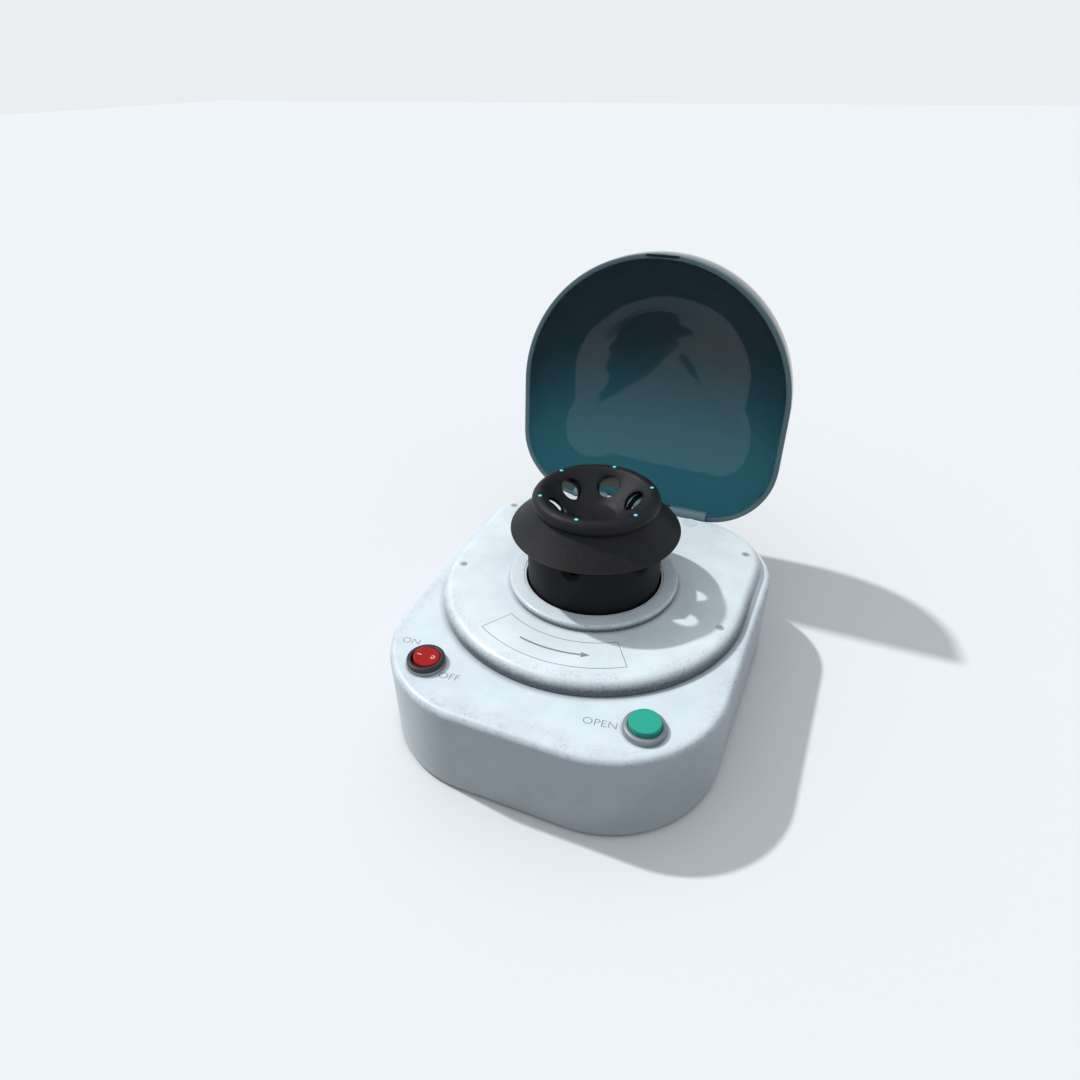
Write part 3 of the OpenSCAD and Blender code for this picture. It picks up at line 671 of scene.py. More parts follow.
class Solid:
    """A bmesh in millimetres about the rotor axis, with the moves that the pieces are made by."""

    def __init__(self, bm: bmesh.types.BMesh | None = None) -> None:
        """Takes over a bmesh or starts an empty one."""
        self.bm = bm or bmesh.new()

    @classmethod
    def cylinder(cls, radius: float, low: float, high: float, sides: int = 96) -> "Solid":
        """Makes a closed cylinder about Z.

        Args:
            radius: Its radius.
            low: Height of its foot.
            high: Height of its top.
            sides: Sides of its circle.

        Returns:
            The solid.
        """
        solid = cls()
        place = Matrix.Translation((0, 0, (low + high) / 2))
        bmesh.ops.create_cone(solid.bm, cap_ends=True, segments=sides, radius1=radius, radius2=radius,
                              depth=high - low, matrix=place)
        return solid

    @classmethod
    def block(cls, low: Sequence[float], high: Sequence[float]) -> "Solid":
        """Makes a closed block.

        Args:
            low: Its lowest corner.
            high: Its highest corner.

        Returns:
            The solid.
        """
        solid = cls()
        low, high = Vector(low), Vector(high)
        place = Matrix.Translation((low + high) / 2) @ Matrix.Diagonal((*(high - low), 1))
        bmesh.ops.create_cube(solid.bm, size=1, matrix=place)
        return solid

    def moved(self, place: Matrix) -> "Solid":
        """Moves every vertex by a matrix."""
        bmesh.ops.transform(self.bm, matrix=place, verts=self.bm.verts)
        return self

    def rounded(self, radius: float, chosen: Callable[[bmesh.types.BMEdge], bool], segments: int = 4) -> "Solid":
        """Rounds the chosen edges.

        Args:
            radius: Width of the round on either face.
            chosen: Says whether an edge is rounded.
            segments: Steps across the round.

        Returns:
            This solid.
        """
        edges = [edge for edge in self.bm.edges if chosen(edge)]
        bmesh.ops.bevel(self.bm, geom=edges, offset=radius, offset_type="OFFSET", segments=segments,
                        profile=0.5, affect="EDGES", clamp_overlap=False, material=-1)
        return self

    def outward(self) -> "Solid":
        """Merges doubles and turns every face outwards.

        Returns:
            This solid.
        """
        bmesh.ops.remove_doubles(self.bm, verts=self.bm.verts, dist=SAME_PLACE)
        bmesh.ops.dissolve_degenerate(self.bm, edges=self.bm.edges, dist=SLIVER)
        bmesh.ops.recalc_face_normals(self.bm, faces=self.bm.faces)
        return self

    def mesh(self, name: str) -> bpy.types.Mesh:
        """Copies the bmesh.

        Args:
            name: The mesh's name.

        Returns:
            The mesh.
        """
        mesh = bpy.data.meshes.new(name)
        self.bm.to_mesh(mesh)
        return mesh

    def _combine(self, operation: str, others: Sequence["Solid"]) -> "Solid":
        """Joins to or cuts by other solids, one after another.

        Args:
            operation: UNION or DIFFERENCE.
            others: The other solids.

        Returns:
            This solid.
        """
        base, *tools = [placed("blank", solid.mesh("blank")) for solid in (self, *others)]
        for tool in tools:
            boolean = base.modifiers.new("combine", "BOOLEAN")
            boolean.operation = operation
            boolean.solver = "EXACT"
            boolean.object = tool
        mesh = settled(base)
        self.bm.free()
        self.bm = bmesh.new()
        self.bm.from_mesh(mesh)
        for lent in [base, *tools]:
            bpy.data.meshes.remove(lent.data)
        bpy.data.meshes.remove(mesh)
        return self.outward()

    def cut(self, *others: "Solid") -> "Solid":
        """Takes other solids away from this one."""
        return self._combine("DIFFERENCE", others)

    def join(self, *others: "Solid") -> "Solid":
        """Grows other solids onto this one."""
        return self._combine("UNION", others)

    def add(self, other: "Solid") -> "Solid":
        """Puts a separate solid beside this one in the same mesh.

        Args:
            other: The other solid.

        Returns:
            This solid.
        """
        mesh = other.mesh("part")
        self.bm.from_mesh(mesh)
        bpy.data.meshes.remove(mesh)
        return self

    def piece(self, name: str, body: str, slot: Slot, *stands_for: str,
              finish: Extra | None = None) -> bpy.types.Object:
        """Turns the solid into a finished piece of the object.

        Args:
            name: The piece's name.
            body: The body that it rides on.
            slot: The record's slot that its finish belongs to.
            stands_for: Nodes of the frame that it replaces.
            finish: A finish other than the slot's own.

        Returns:
            The object.
        """
        for face in self.bm.faces:
            face.smooth = True
        for edge in self.bm.edges:
            edge.smooth = len(edge.link_faces) == 2 and edge.calc_face_angle(0) < SMOOTH_BELOW
        self.moved(Matrix.Translation((0, AXIS_Y, 0)) @ Matrix.Scale(MM, 4))
        mesh = self.mesh(name)
        self.bm.free()
        mesh.materials.append(finish_of(finish or slot))
        made = placed(name, mesh)
        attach(made, body)
        if stands_for:
            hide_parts(*stands_for)
        LOG.info("%s: %d faces on %s", name, len(mesh.polygons), body)
        return made


class Section:
    """Half a section, drawn with lines and arcs in the XZ plane and turned round Z."""

    def __init__(self, radius: float, height: float) -> None:
        """Starts the outline at a radius and a height."""
        self.bm = bmesh.new()
        self.start = self.tip = self.bm.verts.new((radius, 0, height))

    def line(self, *points: tuple[float, float]) -> "Section":
        """Draws straight lines.

        Args:
            points: Radius and height of each point.

        Returns:
            This section.
        """
        for radius, height in points:
            following = self.bm.verts.new((radius, 0, height))
            self.bm.edges.new((self.tip, following))
            self.tip = following
        return self

    def arc(self, radius: float, height: float, degrees: float, steps: int = 8) -> "Section":
        """Swings the tip about a centre.

        Args:
            radius: Radius of the centre.
            height: Height of the centre.
            degrees: Angle, anticlockwise as seen with radius to the right and height up.
            steps: Edges in the arc.

        Returns:
            This section.
        """
        turned = bmesh.ops.spin(self.bm, geom=[self.tip], cent=(radius, 0, height), axis=(0, -1, 0),
                                angle=math.radians(degrees), steps=steps)
        self.tip = only(bmesh.types.BMVert, turned["geom_last"])[0]
        return self

    def outer_corner(self, radius: float, height: float, edge: float, steps: int = 8) -> "Section":
        """Climbs a side and rounds its top corner inwards."""
        return self.line((radius, height - edge)).arc(radius - edge, height - edge, 90, steps)

    def inner_corner(self, radius: float, height: float, edge: float, steps: int = 4) -> "Section":
        """Runs in along a top and rounds its corner down into a bore."""
        return self.line((radius + edge, height)).arc(radius + edge, height - edge, 90, steps)

    def close(self) -> "Section":
        """Joins the tip to the start."""
        self.bm.edges.new((self.tip, self.start))
        return self

    def turned(self, steps: int = 128) -> Solid:
        """Turns the outline round Z into a closed solid."""
        bmesh.ops.spin(self.bm, geom=self.bm.verts[:] + self.bm.edges[:], cent=(0, 0, 0), axis=UP,
                       angle=2 * math.pi, steps=steps, use_merge=True)
        return Solid(self.bm).outward()


@dataclass(frozen=True)
class Plan:
    """Outline with round corners, alike on both sides of the middle plane."""

    front_r: float
    front_x: float
    front_y: float
    rear_r: float
    rear_x: float
    rear_y: float
    degrees_a_step: float = 3.0

    def inset(self, by: float) -> "Plan":
        """The same outline, smaller all round."""
        return replace(self, front_r=self.front_r - by, rear_r=self.rear_r - by)

    def draw(self, bm: bmesh.types.BMesh, height: float) -> bmesh.types.BMFace:
        """Draws the outline as one face.

        Args:
            bm: The mesh that it is added to.
            height: Its height.

        Returns:
            The face.
        """
        run = Vector((self.rear_x - self.front_x, self.rear_y - self.front_y))
        touch = math.degrees(math.atan2(run.y, run.x) - math.acos((self.front_r - self.rear_r) / run.length))
        corners = ((1, self.front_r, self.front_x, self.front_y, -90, touch),
                   (1, self.rear_r, self.rear_x, self.rear_y, touch, 90),
                   (-1, self.rear_r, self.rear_x, self.rear_y, 90, 180 - touch),
                   (-1, self.front_r, self.front_x, self.front_y, 180 - touch, 270))
        first = last = None
        for side, radius, x, y, start, end in corners:
            centre = Vector((side * x, y, height))
            turn = math.radians(start)
            begin = bm.verts.new(centre + radius * Vector((math.cos(turn), math.sin(turn), 0)))
            spun = bmesh.ops.spin(bm, geom=[begin], cent=centre, axis=UP, angle=math.radians(end - start),
                                  steps=round((end - start) / self.degrees_a_step))
            if last:
                bm.edges.new((last, begin))
            first = first or begin
            last = only(bmesh.types.BMVert, spun["geom_last"])[0]
        bm.edges.new((last, first))
        level = [vert for vert in bm.verts if abs(vert.co.z - height) < SAME_LEVEL]
        bmesh.ops.remove_doubles(bm, verts=level, dist=SAME_LEVEL)
        edges = list(filter(at_height(height, SAME_LEVEL), bm.edges))
        return bmesh.ops.contextual_create(bm, geom=edges)["faces"][0]

    def prism(self, low: float, high: float) -> Solid:
        """Makes a closed column on the outline.

        Args:
            low: Height of its foot.
            high: Height of its top.

        Returns:
            The solid.
        """
        bm = bmesh.new()
        grown = bmesh.ops.extrude_face_region(bm, geom=[self.draw(bm, low)])["geom"]
        bmesh.ops.translate(bm, verts=only(bmesh.types.BMVert, grown), vec=(0, 0, high - low))
        return Solid(bm).outward()

    def dome(self, bm: bmesh.types.BMesh, low: float, skirt: float, rise: float, fullness: float,
             rows: int = 30) -> None:
        """Raises a closed dome on the outline, scaled row by row towards the rotor axis.

        Args:
            bm: The mesh that the dome is added to.
            low: Height of the rim.
            skirt: Height of the straight wall over the rim.
            rise: Height of the dome over the skirt.
            fullness: 2 for an ellipse, more for a squarer dome.
            rows: Rows of faces from skirt to crown.
        """
        face = self.draw(bm, low)
        ring, scale, height = list(face.edges), 1.0, low
        bmesh.ops.delete(bm, geom=[face], context="FACES_ONLY")
        for row in range(rows + 1):
            turn = math.pi / 2 * row / rows
            new_scale = max(0.012, math.cos(turn) ** (2 / fullness)) if row else 1.0
            new_height = low + skirt + rise * math.sin(turn) ** (2 / fullness)
            grown = bmesh.ops.extrude_edge_only(bm, edges=ring)["geom"]
            verts = only(bmesh.types.BMVert, grown)
            ring = [edge for edge in only(bmesh.types.BMEdge, grown) if set(edge.verts) <= set(verts)]
            share = new_scale / scale
            bmesh.ops.scale(bm, verts=verts, vec=(share, share, 1))
            bmesh.ops.translate(bm, verts=verts, vec=(0, 0, new_height - height))
            scale, height = new_scale, new_height
        bmesh.ops.contextual_create(bm, geom=ring)


def at_height(height: float, slack: float = 0.01) -> Callable[[bmesh.types.BMEdge], bool]:
    """Chooses the edges that lie level at a height."""
    return lambda edge: all(abs(vert.co.z - height) < slack for vert in edge.verts)


def sharp(degrees: float, extra: Callable[[Vector], bool] = lambda middle: True) -> Callable[..., bool]:
    """Chooses sharp edges.

    Args:
        degrees: The least angle that an edge turns by.
        extra: Says of an edge's middle whether the edge is in place.

    Returns:
        A test of one edge.
    """
    limit = math.radians(degrees)

    def chosen(edge: bmesh.types.BMEdge) -> bool:
        """Whether one edge is sharp and in place."""
        if len(edge.link_faces) != 2 or edge.calc_face_angle(0) < limit:
            return False
        return extra((edge.verts[0].co + edge.verts[1].co) / 2)

    return chosen


def turn_about(point: Sequence[float], axis: str, degrees: float) -> Matrix:
    """Rotation about an axis through a point."""
    there = Matrix.Translation(point)
    return there @ Matrix.Rotation(math.radians(degrees), 4, axis) @ there.inverted()


def round_z(degrees: float) -> Matrix:
    """Rotation about the rotor axis."""
    return Matrix.Rotation(math.radians(degrees), 4, "Z")


def quarter(point: Sequence[float], axis: str) -> Matrix:
    """Place at a point, turned a quarter about an axis."""
    return Matrix.Translation(point) @ Matrix.Rotation(math.pi / 2, 4, axis)


# ---------------------------------------------------------------- housing


@dataclass
class Housing:
    """White housing, deck plate and what sits flush in them."""

    plan: Plan = Plan(57.5, 26.5, -52.5, 45, 42, 41)
    deck_plan: Plan = Plan(80, 0, 0, 39, 42, 43, 2.0)
    wall: float = 3.0
    edge_r: float = 3.5
    deck_edge_r: float = 6.0
    deck_skin: float = 3.5
    well_hole_r: float = 37.5
    well_boss: float = 6.0
    panel_hole_r: float = 8.0
    inlet_hole_r: float = 5.6
    inlet_half: float = 8.0
    inlet_inside: float = 2.0
    deck_wall_more: float = 2.0
    notch_half: float = 42.5
    notch_y: float = 78.5
    notch_boss: float = 3.0
    notch_boss_right: float = 2.5
    past_rear: float = 100.0
    hole_edge: float = 0.35
    boss_r: float = 4.5
    screw_seat_r: float = 2.1
    screw_seat_depth: float = 1.2
    screw_head_r: float = 2.0
    screw_head_edge: float = 0.3
    screw_shank_r: float = 1.1
    cross_arm: float = 1.25
    cross_half: float = 0.24
    cross_depth: float = 0.45
    cross_step: float = 0.02
    shank_gap: float = 0.01
    first_turn: float = 30.0
    next_turn: float = 23.0
    plug_seat_r: float = 4.35
    plug_seat_depth: float = 0.3
    collar_r: float = 35.5
    collar_edge: float = 1.1
    collar_slope: tuple[float, float] = (1.5, 1.1)
    collar_lip: float = 0.25
    collar_bore_edge: float = 0.5

    @staticmethod
    def places(node: str) -> list[tuple[float, float]]:
        """Finds the separate solids of a fastener group.

        Args:
            node: The group's node.

        Returns:
            Each solid's middle in plan, from the left.
        """
        loose = bmesh.new()
        loose.from_mesh(frame["nodes"][node].data)
        bmesh.ops.remove_doubles(loose, verts=loose.verts, dist=1e-6)
        left = set(loose.verts)
        found = []
        while left:
            group, edge_of = [], [left.pop()]
            while edge_of:
                vert = edge_of.pop()
                group.append(vert.co.copy())
                near = {edge.other_vert(vert) for edge in vert.link_edges} & left
                left -= near
                edge_of.extend(near)
            xs = [co.x / MM for co in group]
            ys = [(co.y - AXIS_Y) / MM for co in group]
            found.append(((min(xs) + max(xs)) / 2, (min(ys) + max(ys)) / 2))
        loose.free()
        return sorted(found)

    def build_shell(self) -> None:
        """Housing shell: rounded column, hollow from below, with holes for well, buttons and inlet."""
        shell = self.plan.prism(FOOT, SHELF).rounded(self.edge_r, at_height(SHELF), 8)
        holes = [self.plan.inset(self.wall).prism(FOOT - PAST, SHELF - self.wall),
                 Solid.cylinder(self.well_hole_r, FOOT, SHELF + PAST, 128)]
        for x, y in BUTTONS.values():
            hole = Solid.cylinder(self.panel_hole_r, FOOT, SHELF + PAST, 64)
            holes.append(hole.moved(Matrix.Translation((x, y, 0))))
        low, high = box_mm("power_inlet")
        middle = (low + high) / 2
        place = quarter((middle.x, high.y - self.inlet_inside, middle.z), "X")
        holes.append(Solid.cylinder(self.inlet_hole_r, -self.inlet_half, self.inlet_half, 64).moved(place))
        shell.cut(*holes).piece("housing_skin", "housing", Slot.HOUSING_WHITE, "housing_shell")

    def build_deck(self) -> None:
        """Deck plate: bullnose edge, hinge notch, well hole and seats for screws and plugs."""
        deck = self.deck_plan.prism(SHELF, DECK).rounded(self.deck_edge_r, at_height(DECK), 12)
        under = self.deck_plan.inset(self.wall + self.deck_wall_more).prism(SHELF - PAST, DECK - self.deck_skin)
        keep = [Solid.cylinder(self.well_hole_r + self.well_boss, SHELF - 2 * PAST, DECK, 96),
                Solid.block((-self.notch_half - self.notch_boss, self.notch_y - self.notch_boss, SHELF - 2 * PAST),
                            (self.notch_half + self.notch_boss_right, self.past_rear, DECK))]
        seats = [(self.screw_seat_r, self.screw_seat_depth, "deck_screws"),
                 (self.plug_seat_r, self.plug_seat_depth, "deck_plugs")]
        holes = []
        for radius, depth, node in seats:
            for x, y in self.places(node):
                place = Matrix.Translation((x, y, 0))
                keep.append(Solid.cylinder(self.boss_r, SHELF - 2 * PAST, DECK, 48).moved(place))
                holes.append(Solid.cylinder(radius, DECK - depth, DECK + PAST, 48).moved(place))
        well = Solid.cylinder(self.well_hole_r, SHELF - PAST, DECK + PAST, 128)
        notch = Solid.block((-self.notch_half, self.notch_y, SHELF - PAST),
                            (self.notch_half, self.past_rear, DECK + PAST))
        deck.cut(under.cut(*keep), well, notch)
        deck.rounded(self.hole_edge, sharp(60, lambda middle: middle.z > DECK - 0.01), 2).cut(*holes)
        deck.piece("deck_skin", "housing", Slot.HOUSING_WHITE, "deck_plate", finish=Extra.DECK_WHITE)

    def build_screws(self) -> None:
        """Deck screws: low heads with a cross, each on its shank."""
        low, high = box_mm("deck_screws")
        under, top = high.z - self.screw_seat_depth, high.z
        arm, half, floor, step = self.cross_arm, self.cross_half, top - self.cross_depth, self.cross_step
        screws = Solid()
        for index, (x, y) in enumerate(self.places("deck_screws")):
            head = Solid.cylinder(self.screw_head_r, under, top, 48).rounded(self.screw_head_edge, at_height(top), 3)
            head.cut(Solid.block((-arm, -half, floor), (arm, half, top + PAST)),
                     Solid.block((-half, -arm, floor + step), (half, arm, top + PAST + step)))
            head.add(Solid.cylinder(self.screw_shank_r, low.z, under - self.shank_gap, 24))
            turned = round_z(self.first_turn + self.next_turn * index)
            screws.add(head.moved(Matrix.Translation((x, y, 0)) @ turned))
        screws.piece("deck_screw_heads", "housing", Slot.STEEL, "deck_screws", finish=Extra.SCREW_GREY)

    def build_collar(self) -> None:
        """Collar ring round the rotor well, with a rounded outer edge and a fine inner lip."""
        low, high = box_mm("collar_ring")
        inner, lip = self.collar_r, high.z - self.collar_lip
        ring = Section(inner, low.z).line((high.x, low.z)).outer_corner(high.x, high.z, self.collar_edge)
        start, end = self.collar_slope
        ring.line((inner + start, high.z), (inner + end, lip)).inner_corner(inner, lip, self.collar_bore_edge).close()
        ring.turned(160).piece("collar_skin", "housing", Slot.HOUSING_WHITE, "collar_ring",
                               finish=Extra.COLLAR_WHITE)


# ---------------------------------------------------------------- rotor


@dataclass
class Rotor:
    """Charcoal angle rotor on its drum."""

    rim_r: float = 28.0
    tube_r: float = 4.0
    rim_z: float = 49.0
    brim_r: float = 43.0
    brim_z: float = 33.3
    thick: float = 2.0
    floor_r: float = 11.0
    floor_z: float = 39.0
    floor_round: tuple[float, float, float] = (0.8, 0.6, 0.54)
    brim_round: tuple[float, float, float] = (0.5, 0.2, 0.3)
    hole_r: float = 5.8
    hole_ring: float = 20.0
    hole_z: float = 45.0
    hole_reach: tuple[float, float] = (-9.0, 30.0)
    guide_t: float = 1.2
    guide_start: float = 1.3
    guide: float = 3.4
    first: float = 30.0
    count: int = 6
    mouth: tuple[float, float] = (12.0, 26.0)
    mouth_slack: float = 0.9
    mouth_edge: float = 0.45
    drum_bore_r: float = 6.1
    drum_wall: float = 2.4
    drum_floor: float = 2.5
    drum_edge: float = 0.4
    notch_r: float = 6.3
    notch_reach: tuple[float, float] = (0.0, 48.0)

    @property
    def climb(self) -> float:
        """Angle in degrees of the funnel's wall, which rises to touch the rolled rim's inner side."""
        run, rise = self.rim_r - self.floor_r, self.rim_z - self.floor_z
        return math.degrees(math.atan2(rise, run) + math.asin(self.tube_r / math.hypot(run, rise)))

    def tubes(self, radius: float, start: float, end: float) -> list[Solid]:
        """Makes cylinders along the six tube lines.

        Args:
            radius: Their radius.
            start: Distance past the funnel's wall where they start.
            end: Distance past the funnel's wall where they end.

        Returns:
            The cylinders.
        """
        made = []
        for index in range(self.count):
            place = (round_z(self.first + 360 * index / self.count)
                     @ Matrix.Translation((self.hole_ring, 0, DECK + self.hole_z))
                     @ Matrix.Rotation(math.radians(135), 4, "Y"))
            made.append(Solid.cylinder(radius, start, end, 72).moved(place))
        return made

    def build_head(self) -> None:
        """Rolled rim, skirt and funnel turned in one, with guides and holes for the tubes."""
        up = DECK
        outer = self.brim_r + self.brim_z
        inner = outer - self.thick * math.sqrt(2)
        rim_z = self.rim_z + up
        leave = math.degrees(math.asin((outer - self.rim_r - self.rim_z) / (self.tube_r * math.sqrt(2)))) - 45
        climb = self.climb
        meet = math.radians(climb + 90)
        floor_z = self.floor_z + up
        before, after, lift = self.floor_round
        head = Section(0, floor_z).line((self.floor_r - before, floor_z), (self.floor_r + after, floor_z + lift))
        head.line((self.rim_r + self.tube_r * math.cos(meet), rim_z + self.tube_r * math.sin(meet)))
        head.arc(self.rim_r, rim_z, leave - climb - 90, 30)
        slope, side, foot = self.brim_round
        head.line((self.brim_r - slope, outer - self.brim_r + slope + up), (self.brim_r, self.brim_z + up + side),
                  (self.brim_r - foot, self.brim_z + up), (inner - self.brim_z, self.brim_z + up))
        under = self.floor_z - self.thick
        under_r = self.floor_r + self.thick * math.tan(math.radians(climb / 2))
        rise = math.tan(math.radians(climb))
        crease = (inner - under + under_r * rise) / (1 + rise)
        head.line((crease, inner - crease + up), (under_r, under + up), (0, under + up))
        body = head.turned(168)
        body.join(*self.tubes(self.hole_r + self.guide_t, self.guide_start, self.guide))
        body.cut(*self.tubes(self.hole_r, *self.hole_reach))
        body.rounded(self.mouth_edge, sharp(50, self._near_mouth), 2)
        body.piece("rotor_head", "rotor", Slot.ROTOR_CHARCOAL, "rotor_body")

    def _near_mouth(self, middle: Vector) -> bool:
        """Tests for the mouth of a tube hole in the funnel.

        Args:
            middle: A point.

        Returns:
            Whether it lies there.
        """
        far = math.hypot(middle.x, middle.y)
        line = self.floor_z + DECK + (far - self.floor_r) * math.tan(math.radians(self.climb))
        return self.mouth[0] < far < self.mouth[1] and abs(middle.z - line) < self.mouth_slack

    def build_drum(self) -> None:
        """Drum under the rotor, open at the top, with a notch for each tube."""
        low, high = box_mm("rotor_drum")
        outer, bore, soft, floor = high.x, self.drum_bore_r, self.drum_edge, low.z + self.drum_floor
        inner = outer - self.drum_wall
        drum = Section(bore, low.z).line((outer - soft, low.z), (outer, low.z + soft))
        drum.outer_corner(outer, high.z, soft, 3).inner_corner(inner, high.z, soft, 3)
        drum.line((inner, floor), (bore, floor)).close()
        drum.turned(144).cut(*self.tubes(self.notch_r, *self.notch_reach)).piece(
            "drum_skin", "rotor", Slot.ROTOR_CHARCOAL, "rotor_drum", finish=Extra.DRUM_BLACK)


# ---------------------------------------------------------------- lid


@dataclass
class Lid:
    """Tinted domed lid, drawn closed and turned back to its open place."""

    half_w: float = 78.0
    length: float = 149.5
    depth: float = 66.0
    skirt: float = 4.0
    wall: float = 2.8
    corner_r: float = 40.0
    fullness: float = 2.3
    gap: float = 0.4
    barrel_r: float = 3.5
    barrel_half: float = 42.0
    barrel_clear: float = 0.1
    bracket: tuple[float, float] = (9.0, 20.3)
    bracket_clear: float = 0.5
    rim_edge: float = 0.7
    hinge_y: float = (HINGE["pos_m"][1] - AXIS_Y) / MM
    hinge_z: float = HINGE["pos_m"][2] / MM
    opened: float = HINGE["range_deg"][1]

    def across(self, radius: float, start: float, end: float) -> Solid:
        """Cylinder on the hinge axis between two places along it."""
        return Solid.cylinder(radius, start, end, 64).moved(quarter((0, self.hinge_y, self.hinge_z), "Y"))

    def build_shell(self) -> None:
        """Domed shell with a softened rim, cut clear of the hinge."""
        rear = self.hinge_y + self.barrel_r
        plan = Plan(self.half_w, 0, rear - self.length + self.half_w, self.corner_r, self.half_w - self.corner_r,
                    rear - self.corner_r, 2.0)
        low, rise = self.hinge_z + self.gap, self.depth - self.skirt
        shell, lining = Solid(), Solid()
        plan.dome(shell.bm, low, self.skirt, rise, self.fullness)
        plan.inset(self.wall).dome(lining.bm, low, self.skirt, rise - self.wall, self.fullness)
        shell.add(lining)
        bmesh.ops.bridge_loops(shell.bm, edges=[edge for edge in shell.bm.edges if edge.is_boundary])
        shell.outward().rounded(self.rim_edge, sharp(50, lambda middle: middle.z < low + 0.1), 3)
        (near, far), knuckle = self.bracket, self.barrel_r + self.bracket_clear
        shell.cut(self.across(self.barrel_r + self.barrel_clear, -self.barrel_half, self.barrel_half),
                  self.across(knuckle, near, far), self.across(knuckle, -far, -near))
        shell.moved(turn_about((0, self.hinge_y, self.hinge_z), "X", -self.opened))
        shell.piece("lid_dome", "lid", Slot.LID_TEAL, "lid_shell")


# ---------------------------------------------------------------- buttons


